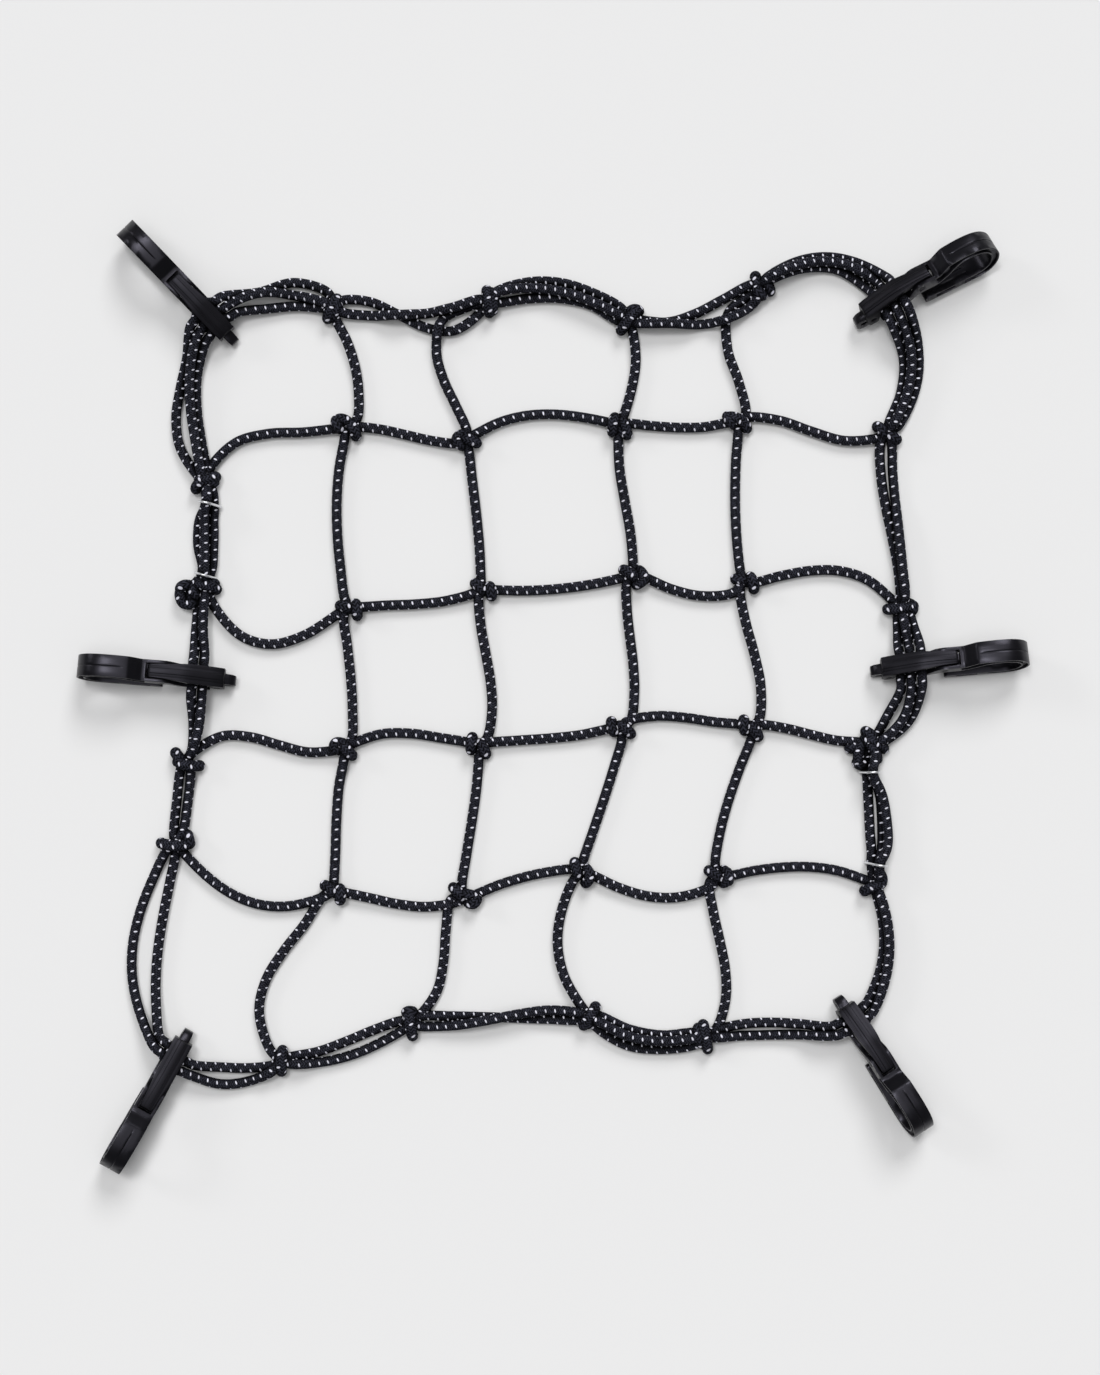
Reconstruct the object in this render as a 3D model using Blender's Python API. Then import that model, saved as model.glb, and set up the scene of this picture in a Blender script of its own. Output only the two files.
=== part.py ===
"""Luggage net: elastic cords knotted into a mesh, four wire clips and six snap hooks.

Lengths are in millimetres until a mesh is made. +Z is up, the net lies on z = 0 and
+Y is the end with the row of knots T1 to T4.
"""

import math
from collections import namedtuple

import bmesh
import bpy
from mathutils import Matrix, Vector

MM = 0.001

# ---- cords ----
CORD = 4.8  # drawn a little thinner than the 5 mm cord, so that neighbours stay apart
CORD_SPREAD = 0.013  # cords differ this much in radius, so that no two faces coincide
CORD_SIDES = 6
STACK = 5.6  # centre distance of two cords that lie on each other
REST_HEIGHT = 2.9  # centre line of a cord lying free
KNOT_HEIGHT = 4.6  # centre line where a cord enters a knot
RISE = 20.0  # length over which a cord climbs to a knot
STEP = 17.0  # length of one straight piece of cord

# ---- knots ----
KNOT_LENGTH = 15.5
KNOT_WIDTH = 11.5
KNOT_TOP = 9.4
KNOT_SIDES = 8

# ---- hooks, in the hook's own u (along), v (across), w (up) ----
HOOK_WIDTH = 11.0
EYE = 57.5  # u of the middle of the eye that holds the cords
LEAN_AXIS = 10.0  # w of the line about which a hook leans
ARM_TOP_START = (53.0, 9.9)  # u and w on the top of the arm under the cords
ARM_SLOPE = -0.3526
EYE_GAP = 5.9  # arm to lever, upright
CORD_SEAT = 2.86  # arm to the cord's centre line, upright
EYE_REACH = 7.5  # a cord runs straight this far to each side of the hook's middle
CORD_PITCH = 5.1
PIVOT = (43.0, 14.6)
PIN_RADIUS = 1.6
PIN_HOLE = 1.9
SLOT_START = 37.5  # the lever's heel swings down into this slot as it opens
SLOT_END = 47.6
SLOT_HALF = 3.5
LEVER_NECK_HALF = 3.2
TAB_HALF = 2.6
CHEEK_INNER = 2.95
CHEEK_OUTER = 5.3
TAB_START = 65.6

# ---- clips ----
WIRE = 1.2
CLIP_GAP = 0.3
CLIP_LENGTH = 2.6
CLIP_CORNER = 2.2
CLIP_FLOOR = 0.65  # centre line of the turned-in ends
CLIP_HOOK = 1.0

Place = namedtuple("Place", "x y turn length")
KNOTS = {
    # inner knots, rows from +Y to -Y: x, y, direction of the two lobes in degrees, length
    "K11": Place(-103.5, 134.5, -35, KNOT_LENGTH),
    "K12": Place(-44.0, 128.5, -10, KNOT_LENGTH),
    "K13": Place(33.0, 135.5, -40, KNOT_LENGTH),
    "K14": Place(92.5, 137.0, -30, KNOT_LENGTH),
    "K21": Place(-102.0, 45.0, -10, KNOT_LENGTH),
    "K22": Place(-36.0, 54.0, -30, KNOT_LENGTH),
    "K23": Place(40.0, 61.0, -20, KNOT_LENGTH),
    "K24": Place(95.0, 58.0, -35, KNOT_LENGTH),
    "K31": Place(-105.0, -25.5, -30, KNOT_LENGTH),
    "K32": Place(-37.0, -24.5, -55, KNOT_LENGTH),
    "K33": Place(33.5, -15.5, -30, KNOT_LENGTH),
    "K34": Place(99.5, -15.5, -40, KNOT_LENGTH),
    "K41": Place(-110.0, -97.0, -30, KNOT_LENGTH),
    "K42": Place(-44.0, -100.0, -35, KNOT_LENGTH),
    "K43": Place(14.5, -87.5, -55, KNOT_LENGTH),
    "K44": Place(83.0, -89.0, -25, KNOT_LENGTH),
    # knots on the border, clockwise
    "T1": Place(-109.5, 194.5, -30, 15.0),
    "T2": Place(-32.5, 198.0, -85, 18.0),
    "T3": Place(37.5, 188.5, 50, 16.0),
    "T4": Place(103.5, 205.5, -40, 15.0),
    "R1": Place(167.0, 132.0, -35, 15.0),
    "R2": Place(174.0, 44.5, 5, 17.5),
    "R3": Place(158.5, -24.0, 35, 17.5),
    "R4": Place(160.5, -93.0, 35, 14.5),
    "B4": Place(76.0, -170.0, -80, 17.5),
    "B3": Place(18.0, -159.5, 50, 15.5),
    "B2": Place(-71.0, -162.5, -85, 17.5),
    "B1": Place(-136.0, -182.0, 90, 17.0),
    "L4": Place(-189.0, -73.0, 5, 18.0),
    "L3": Place(-183.0, -31.0, -25, 15.5),
    "L2": Place(-173.0, 55.5, -10, 14.5),
    "L1": Place(-173.5, 107.5, 40, 15.0),
    # stopper knots beside two border knots
    "L2end": Place(-183.0, 51.0, 75, 14.0),
    "R3end": Place(152.0, -29.5, -60, 14.0),
}
NOOKS = {  # where the second and fourth cord bend away from the border
    "nook2": Place(-55.5, 188.5, 0, 0.0),
    "nook4": Place(87.5, 191.5, 0, 0.0),
}
PLACES = {**KNOTS, **NOOKS}

Hook = namedtuple("Hook", "x y heading lean")
HOOKS = {  # middle of the eye, direction from the open end to the tab, lean to the left
    "top_left": Hook(-173.5, 192.5, -46.0, 0.0),
    "top_right": Hook(168.5, 198.5, -153.5, -26.0),
    "left": Hook(-179.5, 10.5, -4.5, 8.0),
    "right": Hook(179.5, 16.0, -175.0, -14.0),
    "bottom_left": Hook(-192.0, -185.2, 59.5, -6.0),
    "bottom_right": Hook(154.0, -167.5, 121.5, -10.0),
}

# A section runs from place to place. The four numbers are how far it lies to the left of
# the straight line between the two places: at its start, at one and two thirds, at its end.
Section = namedtuple("Section", "start end at_start third two_thirds at_end")
DOWN_CORDS = (
    Section("T1", "K11", -2, 5.5, 8, 4.5),
    Section("K11", "K21", 0.5, -5, -5, -1.5),
    Section("K21", "K31", -3, 0.5, 3.5, 3.5),
    Section("K31", "K41", 1.5, -1, -0.5, 0),
    Section("K41", "B1", -3.5, -12.5, -19.5, -3),
    Section("nook2", "K12", 0, -6, -2, 2),
    Section("K12", "K22", 1, 1.5, 1.5, 0),
    Section("K22", "K32", -1, 1.5, 6, 2.5),
    Section("K32", "K42", 0, 0.5, -1, -2),
    Section("K42", "B2", -6, -1, 5.5, 0),
    Section("T3", "K13", 0.5, 5.5, 4.5, 0.5),
    Section("K13", "K23", 0, -1.5, 0.5, 0),
    Section("K23", "K33", -2.5, 0, 5, 4),
    Section("K33", "K43", 2, 2, 0.5, -1),
    Section("K43", "B3", -2, -12.5, -12.5, 0),
    Section("nook4", "K14", 0, -1.5, 3, 3.5),
    Section("K14", "K24", 0.5, -2, -2.5, -0.5),
    Section("K24", "K34", -1.5, 1, 5.5, 2.5),
    Section("K34", "K44", 1.5, -2, -4, -2),
    Section("K44", "B4", -4.5, 1.5, 8.5, 3),
)
CROSS_CORDS = (
    Section("L1", "K11", 2, 13.5, 7.5, 1),
    Section("K11", "K12", 0.5, 1, -1.5, -1.5),
    Section("K12", "K13", -0.5, 9, 8, 0.5),
    Section("K13", "K14", 1.5, -0.5, -1.5, 1.5),
    Section("K14", "R1", 2, 2, -4.5, -0.5),
    Section("L2", "K21", -3, -23.5, -19.5, 1),
    Section("K21", "K22", -0.5, -2, -3.5, -0.5),
    Section("K22", "K23", 0, -3, -3, 0),
    Section("K23", "K24", 1.5, -5.5, -8.5, -4),
    Section("K24", "R2", -2, 9, 13, -1),
    Section("L3", "K31", 0, 10, 1.5, 0.5),
    Section("K31", "K32", -0.5, 7, 5, 1),
    Section("K32", "K33", 1, 0, -1, 1),
    Section("K33", "K34", 2, 6, 3.5, 1.5),
    Section("K34", "R3", 1.5, 2, 0, 1.5),
    Section("L4", "K41", 0, -14.5, -16.5, -1),
    Section("K41", "K42", 0, -3.5, -6, -1),
    Section("K42", "K43", -1, 2.5, 3.5, 1.5),
    Section("K43", "K44", 1, -9, -12, -3.5),
    Section("K44", "R4", -1.5, 4.5, 6, -0.5),
)
# The border runs clockwise, so that left is outwards. Each group lies side by side, and
# a later cord of a group climbs over an earlier one.
BORDER_CORDS = (
    (
        Section("T1", "T2", 2, -1, -13.5, 0),
        Section("nook2", "T2", 0, 1.5, 1, 0),
        Section("T1", "T2", -1.5, -5, -4, 2),
    ),
    (
        Section("T2", "T3", -1.5, 5, 6, -3.5),
        Section("T2", "T3", 3, 13.5, 12.5, 3.5),
        Section("T2", "T3", 2.5, 9.5, 7.5, 0),
    ),
    (
        Section("nook4", "T4", 0, 1, 0, -1),
        Section("T3", "T4", 2, -6, -2.5, 2),
        Section("T3", "T4", -2, -8, -12, -4),
    ),
    (
        Section("R1", "R2", -2.5, -4, -0.5, 0),
        Section("R1", "R2", 2, 1.5, 2, 2),
    ),
    (
        Section("R3", "R4", -2, -1.5, -1, -0.5),
        Section("R3", "R4", 2.5, 4.5, 5, 2),
        Section("R3", "R4", 2, 5, 7.5, 3),
    ),
    (
        Section("B4", "B3", -3, 3, 3, -2.5),
        Section("B4", "B3", 3, 10, 11, 1.5),
        Section("B4", "B3", -0.5, 5.5, 6, -1),
    ),
    (
        Section("B3", "B2", 2, 0.5, -1.5, -2.5),
        Section("B3", "B2", -0.5, -3, 1.5, 1.5),
    ),
    (
        Section("B2", "B1", -1.5, -1, 1, -1.5),
        Section("B2", "B1", 1, 6.5, 7, 1),
    ),
    (
        Section("L4", "L3", 1, 2, 2.5, 2),
        Section("L4", "L3", -2.5, -3, -3, -1.5),
    ),
    (
        Section("L2", "L1", -1.5, -3, -3.5, -2.5),
        Section("L2", "L1", 1.5, 4.5, 4, 2),
        Section("L2", "L1", 0.3, 1, 0.8, 0),
    ),
)
# A run through a hook: as a section before and after the hook, with the cord's place in
# the eye between them, in cord widths from its middle towards the open end.
Run = namedtuple("Run", "start hook end at_start third two_thirds seat third_on two_thirds_on at_end")
HOOK_CORDS = (
    (
        Run("L1", "top_left", "T1", 0.5, 12.5, 7.5, 1, 5, 11.5, 4),
        Run("L1", "top_left", "T1", -1, 3, 5, -1, 1.5, 2, -1),
        Run("L1", "top_left", "T1", 1, 4.5, 5.5, 0, 6.5, 5.5, 1),
    ),
    (
        Run("T4", "top_right", "R1", 1.5, 12, 11.5, 1, 9.5, 10, 2.5),
        Run("T4", "top_right", "R1", 0.5, 9, 10.5, -1, 7.5, 6, -1.5),
        Run("T4", "top_right", "R1", 1, 10, 11, 0, 8, 7.5, 0.5),
    ),
    (
        Run("R2", "right", "R3", -1.5, -1, -0.5, -1, 0.5, 1, 0),
        Run("R2", "right", "R3", 2, 2, 1, 1, 6.5, 6.5, 1.5),
        Run("R2", "right", "R3", 0, 0, 0, 0, 5.5, 5, 1.5),
    ),
    (
        Run("R4", "bottom_right", "B4", -0.5, 6, 6.5, -1, -3, -4.5, -1),
        Run("R4", "bottom_right", "B4", 0.5, 7, 7, 0, 0, 0, 0.5),
    ),
    (
        Run("B1", "bottom_left", "L4", 1, 3, 2, -1, 5, 3, -1),
        Run("B1", "bottom_left", "L4", 2, 7.5, 7.5, 0, 15.5, 14, 2),
    ),
    (
        Run("L3", "left", "L2", -1.5, -2, -1.5, 0, 1.5, 2.5, 2.5),
        Run("L3", "left", "L2", -1.5, -2, -2, -1, 1, 1, 0.5),
    ),
)
Clip = namedtuple("Clip", "start end distance")
CLIPS = {  # a clip on the border cords between two knots, at a distance from the first
    "clip_left_top": Clip("L2", "L1", 40.5),
    "clip_left_low": Clip("L2", "L1", 7.5),
    "clip_right_top": Clip("R3", "R4", 13.5),
    "clip_right_low": Clip("R3", "R4", 59.0),
}

Finish = namedtuple("Finish", "colour roughness metallic")
BRAIDED_CORD = Finish((0.012, 0.013, 0.018, 1.0), 0.75, 0.0)
MOULDED_NYLON = Finish((0.009, 0.009, 0.012, 1.0), 0.35, 0.0)
LEVER_NYLON = Finish((0.012, 0.012, 0.016, 1.0), 0.32, 0.0)
ZINC_WIRE = Finish((0.42, 0.43, 0.45, 1.0), 0.38, 1.0)


# ---------------------------------------------------------------- small tools


def make_material(name, finish):
    material = bpy.data.materials.new(name)
    material.use_nodes = True
    shader = material.node_tree.nodes["Principled BSDF"]
    shader.inputs["Base Color"].default_value = finish.colour
    shader.inputs["Roughness"].default_value = finish.roughness
    shader.inputs["Metallic"].default_value = finish.metallic
    return material


def make_object(name, bm, material=None):
    """A mesh object from a bmesh in millimetres, with its faces turned outwards."""
    bmesh.ops.recalc_face_normals(bm, faces=bm.faces)
    bmesh.ops.scale(bm, vec=(MM, MM, MM), verts=bm.verts)
    mesh = bpy.data.meshes.new(name)
    bm.to_mesh(mesh)
    bm.free()
    if material:
        mesh.materials.append(material)
    made = bpy.data.objects.new(name, mesh)
    bpy.context.scene.collection.objects.link(made)
    return made


def make_helper(name, bm):
    helper = make_object(name, bm)
    helper.hide_render = True
    helper.display_type = "WIRE"
    return helper


def combine(target, others, operation, solver="EXACT"):
    """Unites the target with the others, or cuts them from it, and removes them.

    The net takes the MANIFOLD solver, because many cords graze each other there and EXACT
    leaves slivers between them.
    """
    group = bpy.data.collections.new(target.name + "_operands")
    for other in others:
        group.objects.link(other)
    modifier = target.modifiers.new("combine", "BOOLEAN")
    modifier.operation = operation
    modifier.operand_type = "COLLECTION"
    modifier.collection = group
    modifier.solver = solver
    graph = bpy.context.evaluated_depsgraph_get()
    result = bpy.data.meshes.new_from_object(target.evaluated_get(graph))
    target.modifiers.remove(modifier)
    target.data = result
    for other in others:
        bpy.data.objects.remove(other)
    bpy.data.collections.remove(group)


def close_rings(bm, rings):
    """Joins rings of vertices into a closed skin with a cap at each end."""
    count = len(rings[0])
    for ring, after in zip(rings, rings[1:]):
        for i in range(count):
            j = (i + 1) % count
            bm.faces.new((ring[i], ring[j], after[j], after[i]))
    bm.faces.new(rings[0])
    bm.faces.new(rings[-1])


def tube(points, radius, sides):
    """A round bar along the points, with a flat side below."""
    bm = bmesh.new()
    rings = []
    for i, point in enumerate(points):
        ahead = points[min(i + 1, len(points) - 1)] - points[max(i - 1, 0)]
        across = ahead.cross(Vector((0, 0, 1))).normalized()
        upward = across.cross(ahead).normalized()
        ring = []
        for k in range(sides):
            angle = math.tau * (k + 0.5) / sides + math.pi / 2
            spoke = across * math.cos(angle) + upward * math.sin(angle)
            ring.append(bm.verts.new(point + spoke * radius))
        rings.append(ring)
    close_rings(bm, rings)
    return bm


def extrude_outline(outline, low, high):
    """A flat outline in u and w, drawn out across v from low to high."""
    bm = bmesh.new()
    rings = [[bm.verts.new((u, v, w)) for u, w in outline] for v in (low, high)]
    close_rings(bm, rings)
    return bm


def box_between(low, high):
    (u0, v0, w0), (u1, v1, w1) = low, high
    return extrude_outline(((u0, w0), (u1, w0), (u1, w1), (u0, w1)), v0, v1)


def disc(centre, radius, low, high, sides):
    """A round bar across the hook."""
    u, w = centre
    outline = []
    for k in range(sides):
        angle = math.tau * k / sides
        outline.append((u + radius * math.cos(angle), w + radius * math.sin(angle)))
    return extrude_outline(outline, low, high)


# ---------------------------------------------------------------- hooks


def hook_matrix(hook):
    """From the hook's u, v, w to the world. The leaning hook still touches z = 0."""
    lean = math.radians(hook.lean)
    height = LEAN_AXIS * math.cos(lean) + HOOK_WIDTH / 2 * math.sin(abs(lean))
    return (
        Matrix.Translation((hook.x, hook.y, height))
        @ Matrix.Rotation(math.radians(hook.heading), 4, "Z")
        @ Matrix.Rotation(-lean, 4, "X")
        @ Matrix.Translation((-EYE, 0, -LEAN_AXIS))
    )


def arm_top(u):
    start_u, start_w = ARM_TOP_START
    return start_w + ARM_SLOPE * (u - start_u)


def body_outline():
    """Side view of the hook: the round claw, the neck, the arm and the tab."""
    claw_outside = (
        (38.0, 17.6), (32.0, 19.2), (28.0, 21.8), (21.0, 23.6), (13.5, 24.0), (7.0, 22.8),
        (2.4, 19.4), (0.2, 14.0), (0.4, 8.0), (3.0, 3.2), (7.0, 0.7), (10.5, 0.0),
        (40.6, 0.0), (42.0, 1.0), (42.0, 2.8), (40.8, 3.7),
    )
    claw_inside = (
        (12.0, 3.7), (7.6, 5.4), (4.7, 9.4), (4.7, 13.6), (6.8, 17.6), (10.6, 19.8),
        (16.0, 20.3), (22.0, 19.2), (27.0, 16.4), (31.5, 12.8), (35.5, 11.4), (44.0, 11.2),
    )
    arm_below = ((50.0, 8.4), (70.0, 1.3), (73.0, 0.6), (76.6, 0.6), (78.5, 2.4))
    tab = ((78.5, 5.0), (76.8, 7.0), (72.4, arm_top(72.4) + EYE_GAP - 0.4))
    tab_front = ((66.4, arm_top(66.4) + EYE_GAP - 0.4), (65.9, arm_top(65.9)))
    ears = ((50.6, arm_top(50.6)), (49.4, 13.2), (45.6, 17.4), (43.0, 18.0))
    return claw_outside + claw_inside + arm_below + tab + tab_front + ears


def make_hook_body(material):
    """The claw with its neck and arm, slotted for the lever and notched beside the tab."""
    half = HOOK_WIDTH / 2
    body = make_object("hook", extrude_outline(body_outline(), -half, half), material)
    beyond = half + 2
    slot = box_between((SLOT_START, -SLOT_HALF, 5), (SLOT_END, SLOT_HALF, 25))
    hole = disc(PIVOT, PIN_HOLE, -beyond, beyond, 12)
    cutters = [make_helper("slot", slot), make_helper("hole", hole)]
    for low, high in ((TAB_HALF, beyond), (-beyond, -TAB_HALF)):
        cutters.append(make_helper("notch", box_between((TAB_START, low, -2), (80, high, 14))))
    combine(body, cutters, "DIFFERENCE")
    return body


def make_lever(material):
    """The lever's crowned plate, its two cheeks and its two pins, with the hinge at zero."""
    station = namedtuple("Station", "u half below above")
    stations = [
        station(40.4, LEVER_NECK_HALF, 13.4, 16.2),
        station(41.3, LEVER_NECK_HALF, 12.5, 17.6),
        station(43.0, LEVER_NECK_HALF, 12.0, 18.5),
        station(45.0, LEVER_NECK_HALF, 12.8, 19.2),
        station(47.4, LEVER_NECK_HALF, 15.6, 19.5),
        station(50.0, 3.4, arm_top(50.0) + EYE_GAP, 19.6),
        station(56.0, 4.0, arm_top(56.0) + EYE_GAP, 18.0),
        station(62.0, 4.5, arm_top(62.0) + EYE_GAP, 15.9),
        station(70.0, 4.6, arm_top(70.0) + EYE_GAP, 13.0),
        station(73.4, 4.5, arm_top(73.4) + EYE_GAP, 11.4),
    ]
    bm = bmesh.new()
    rings = []
    for at in stations:
        chamfer = min(0.9, (at.above - at.below) / 2)
        section = (
            (-at.half, at.below), (at.half, at.below), (at.half, at.above - chamfer),
            (at.half - 1.2, at.above), (1.2 - at.half, at.above), (-at.half, at.above - chamfer),
        )
        rings.append([bm.verts.new((at.u, v, w)) for v, w in section])
    close_rings(bm, rings)
    lever = make_object("lever", bm, material)
    cheek = (
        (66.0, 12.6), (66.0, 6.0), (67.4, 3.7), (69.6, 2.9), (71.9, 3.7), (73.3, 6.0), (73.3, 10.4),
    )
    added = []
    for side in (-1, 1):
        low, high = sorted((side * CHEEK_INNER, side * CHEEK_OUTER))
        added.append(make_helper("cheek", extrude_outline(cheek, low, high)))
        low, high = sorted((side * (LEVER_NECK_HALF - 0.8), side * (HOOK_WIDTH / 2 - 0.2)))
        added.append(make_helper("pin", disc(PIVOT, PIN_RADIUS, low, high, 10)))
    combine(lever, added, "UNION")
    lever.data.transform(Matrix.Translation(hinge_place()).inverted())
    return lever


def hinge_place():
    """Where the lever's hinge is on the hook, in metres."""
    return Vector((PIVOT[0], 0, PIVOT[1])) * MM


def place_hooks(body, lever):
    """Puts a copy of the hook and its lever at each place, the lever hung on its hinge."""
    for name, hook in HOOKS.items():
        matrix = hook_matrix(hook)
        matrix.translation *= MM
        placed = bpy.data.objects.new("hook_" + name, body.data)
        placed.matrix_world = matrix
        hung = bpy.data.objects.new("lever_" + name, lever.data)
        hung.parent = placed
        hung.location = hinge_place()
        for made in (placed, hung):
            bpy.context.scene.collection.objects.link(made)
    bpy.data.objects.remove(body)
    bpy.data.objects.remove(lever)


# ---------------------------------------------------------------- cords and knots


def through_four(points, t):
    """The cubic through four points that lie at 0, 1/3, 2/3 and 1."""
    stops = (0.0, 1 / 3, 2 / 3, 1.0)
    total = Vector((0.0, 0.0))
    for i, point in enumerate(points):
        weight = 1.0
        for j, stop in enumerate(stops):
            if j != i:
                weight *= (t - stop) / (stops[i] - stop)
        total += point * weight
    return total


def bent_line(start, end, first, third, two_thirds, last, from_edge, to_edge):
    """Points along one bent stretch, without the ends that a knot or a hook hides."""
    chord = end - start
    left = Vector((-chord.y, chord.x)).normalized()
    through = (
        start + left * first,
        start + chord / 3 + left * third,
        start + chord * (2 / 3) + left * two_thirds,
        end + left * last,
    )
    pieces = max(2, round(chord.length / STEP))
    low, high = from_edge / chord.length, 1 - to_edge / chord.length
    return [through_four(through, low + (high - low) * k / pieces) for k in range(pieces + 1)]


def place_xy(name):
    return Vector((PLACES[name].x, PLACES[name].y))


def edge_of(name):
    """How far from a place's middle a cord comes into sight."""
    return 4.0 if name in KNOTS else 1.0


def height_at(place, distance):
    """A cord climbs to a knot, and to nothing where it only leaves the border."""
    if place not in KNOTS:
        return REST_HEIGHT
    near = max(0.0, 1 - distance / RISE)
    return REST_HEIGHT + (KNOT_HEIGHT - REST_HEIGHT) * near * near


def section_path(row):
    start, end = place_xy(row.start), place_xy(row.end)
    flat = bent_line(
        start, end, row.at_start, row.third, row.two_thirds, row.at_end,
        edge_of(row.start), edge_of(row.end),
    )
    flat = [start, *flat, end]
    path = []
    for point in flat:
        height = max(
            height_at(row.start, (point - start).length),
            height_at(row.end, (point - end).length),
        )
        path.append(Vector((point.x, point.y, height)))
    return path


def run_path(row):
    """A cord from knot to knot by way of a hook's eye, where it lies on the arm."""
    matrix = hook_matrix(HOOKS[row.hook])
    u = EYE - row.seat * CORD_PITCH
    w = arm_top(u) + CORD_SEAT
    eye = [matrix @ Vector((u, side * EYE_REACH, w)) for side in (-1, 0, 1)]
    start, end = place_xy(row.start), place_xy(row.end)
    if (eye[0].xy - start).length > (eye[2].xy - start).length:
        eye.reverse()
    before = bent_line(
        start, eye[0].xy, row.at_start, row.third, row.two_thirds, 0, edge_of(row.start), 0
    )[:-1]
    after = bent_line(
        eye[2].xy, end, 0, row.third_on, row.two_thirds_on, row.at_end, 0, edge_of(row.end)
    )[1:]
    path = []
    for knot, near_eye, points in ((row.start, eye[0], before), (row.end, eye[2], after)):
        side = []
        for point in points:
            resting = height_at(knot, (point - place_xy(knot)).length)
            away = (point - near_eye.xy).length / (1.6 * RISE)
            blend = max(0.0, 1 - away) ** 2
            side.append(Vector((*point, resting + (near_eye.z - resting) * blend)))
        path.append(side)
    ends = [Vector((*place, KNOT_HEIGHT)) for place in (start, end)]
    return [ends[0], *path[0], *eye, *path[1], ends[1]], eye


def distance_to(point, path):
    """How near a point comes to a path, seen from above, and the path's height there."""
    nearest, height = 1e9, 0.0
    for a, b in zip(path, path[1:]):
        along = (b - a).xy
        share = (point.xy - a.xy).dot(along) / max(along.length_squared, 1e-9)
        share = min(1.0, max(0.0, share))
        gap = (a.xy + along * share - point.xy).length
        if gap < nearest:
            nearest, height = gap, a.z + (b.z - a.z) * share
    return nearest, height


def lay_over(path, below, held):
    """Lifts a path's free points over the paths that it would cut through."""
    for i, point in enumerate(path):
        if i in held:
            continue
        for other in below:
            gap, height = distance_to(point, other)
            if gap < STACK:
                point.z = max(point.z, height + math.sqrt(STACK**2 - gap**2))


def knot_mesh(place):
    """A flat-based lump: a wrap across the middle and a lobe to each side of it."""
    turn = math.radians(place.turn)
    half_long, half_wide = place.length / 2, KNOT_WIDTH / 2
    bm = bmesh.new()
    rings = []
    # share of the radius, height over the lobes, height over the wrap
    for share, lobe, wrap in (
        (0.82, 0.0, 0.0), (1.0, 2.6, 2.6), (0.98, 5.6, 5.2), (0.74, 8.0, 7.4), (0.36, 6.8, KNOT_TOP),
    ):
        ring = []
        for k in range(KNOT_SIDES):
            angle = math.tau * k / KNOT_SIDES
            along, across = math.cos(angle), math.sin(angle)
            height = wrap + (lobe - wrap) * along * along
            spot = Matrix.Rotation(turn, 2) @ Vector(
                (along * half_long * share, across * half_wide * share)
            )
            ring.append(bm.verts.new((place.x + spot.x, place.y + spot.y, height)))
        rings.append(ring)
    close_rings(bm, rings)
    return bm


def make_net(material):
    """All cords and knots as one piece. Returns it with the cord paths by their ends."""
    paths = {}
    for row in (*DOWN_CORDS, *CROSS_CORDS):
        if row.start not in NOOKS:
            paths.setdefault((row.start, row.end), []).append(section_path(row))
    for group in BORDER_CORDS:
        laid = []
        for row in group:
            path = section_path(row)
            if row.start in NOOKS:
                onward = next(down for down in DOWN_CORDS if down.start == row.start)
                path = section_path(onward)[:1:-1] + path[:1] + path[2:]
            lay_over(path, laid, {0, 1, len(path) - 2, len(path) - 1})
            laid.append(path)
            paths.setdefault((row.start, row.end), []).append(path)
    for group in HOOK_CORDS:
        laid = []
        for row in group:
            path, eye = run_path(row)
            middle = path.index(eye[1])
            held = {0, 1, middle - 1, middle, middle + 1, len(path) - 2, len(path) - 1}
            lay_over(path, laid, held)
            laid.append(path)
            paths.setdefault((row.start, row.end), []).append(path)
    knots = [make_helper("knot", knot_mesh(place)) for place in KNOTS.values()]
    cords = []
    for group in paths.values():
        for path in group:
            radius = CORD / 2 + CORD_SPREAD * (len(cords) % 7)
            cords.append(make_helper("cord", tube(path, radius, CORD_SIDES)))
    net = make_object("net", tube(paths["K22", "K23"][0], CORD / 2, CORD_SIDES), material)
    combine(net, [*knots, *cords], "UNION", "MANIFOLD")
    return net, paths


# ---------------------------------------------------------------- clips


def make_clip(name, clip, paths, material):
    """A wire staple over the cords between two knots, its ends turned in under them."""
    start, end = place_xy(clip.start), place_xy(clip.end)
    ahead = (end - start).normalized()
    left = Vector((-ahead.y, ahead.x))
    sides, heights = [], []
    for path in paths[clip.start, clip.end]:
        for a, b in zip(path, path[1:]):
            for k in range(9):
                point = a.lerp(b, k / 8)
                if abs((point.xy - start).dot(ahead) - clip.distance) < CLIP_LENGTH:
                    sides.append((point.xy - start).dot(left))
                    heights.append(point.z)
    reach = CORD / 2 + CLIP_GAP + WIRE / 2
    low, high, roof = min(sides) - reach, max(sides) + reach, max(heights) + reach
    half = (
        (low + CLIP_HOOK, CLIP_FLOOR), (low, CLIP_FLOOR + CLIP_HOOK),
        (low, roof - CLIP_CORNER), (low + CLIP_CORNER, roof),
    )
    loop = (*half, *((low + high - side, height) for side, height in reversed(half)))
    bm = bmesh.new()
    rings = []
    centre = start + ahead * clip.distance
    for i, (side, height) in enumerate(loop):
        before, after = loop[max(i - 1, 0)], loop[min(i + 1, len(loop) - 1)]
        along = Vector((after[0] - before[0], after[1] - before[1])).normalized()
        ring = []
        for k in range(6):
            angle = math.tau * k / 6
            outward = math.cos(angle) * WIRE / 2
            spot = centre + left * (side - along.y * outward) + ahead * (math.sin(angle) * WIRE / 2)
            ring.append(bm.verts.new((spot.x, spot.y, height + along.x * outward)))
        rings.append(ring)
    close_rings(bm, rings)
    return make_object(name, bm, material)


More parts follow.
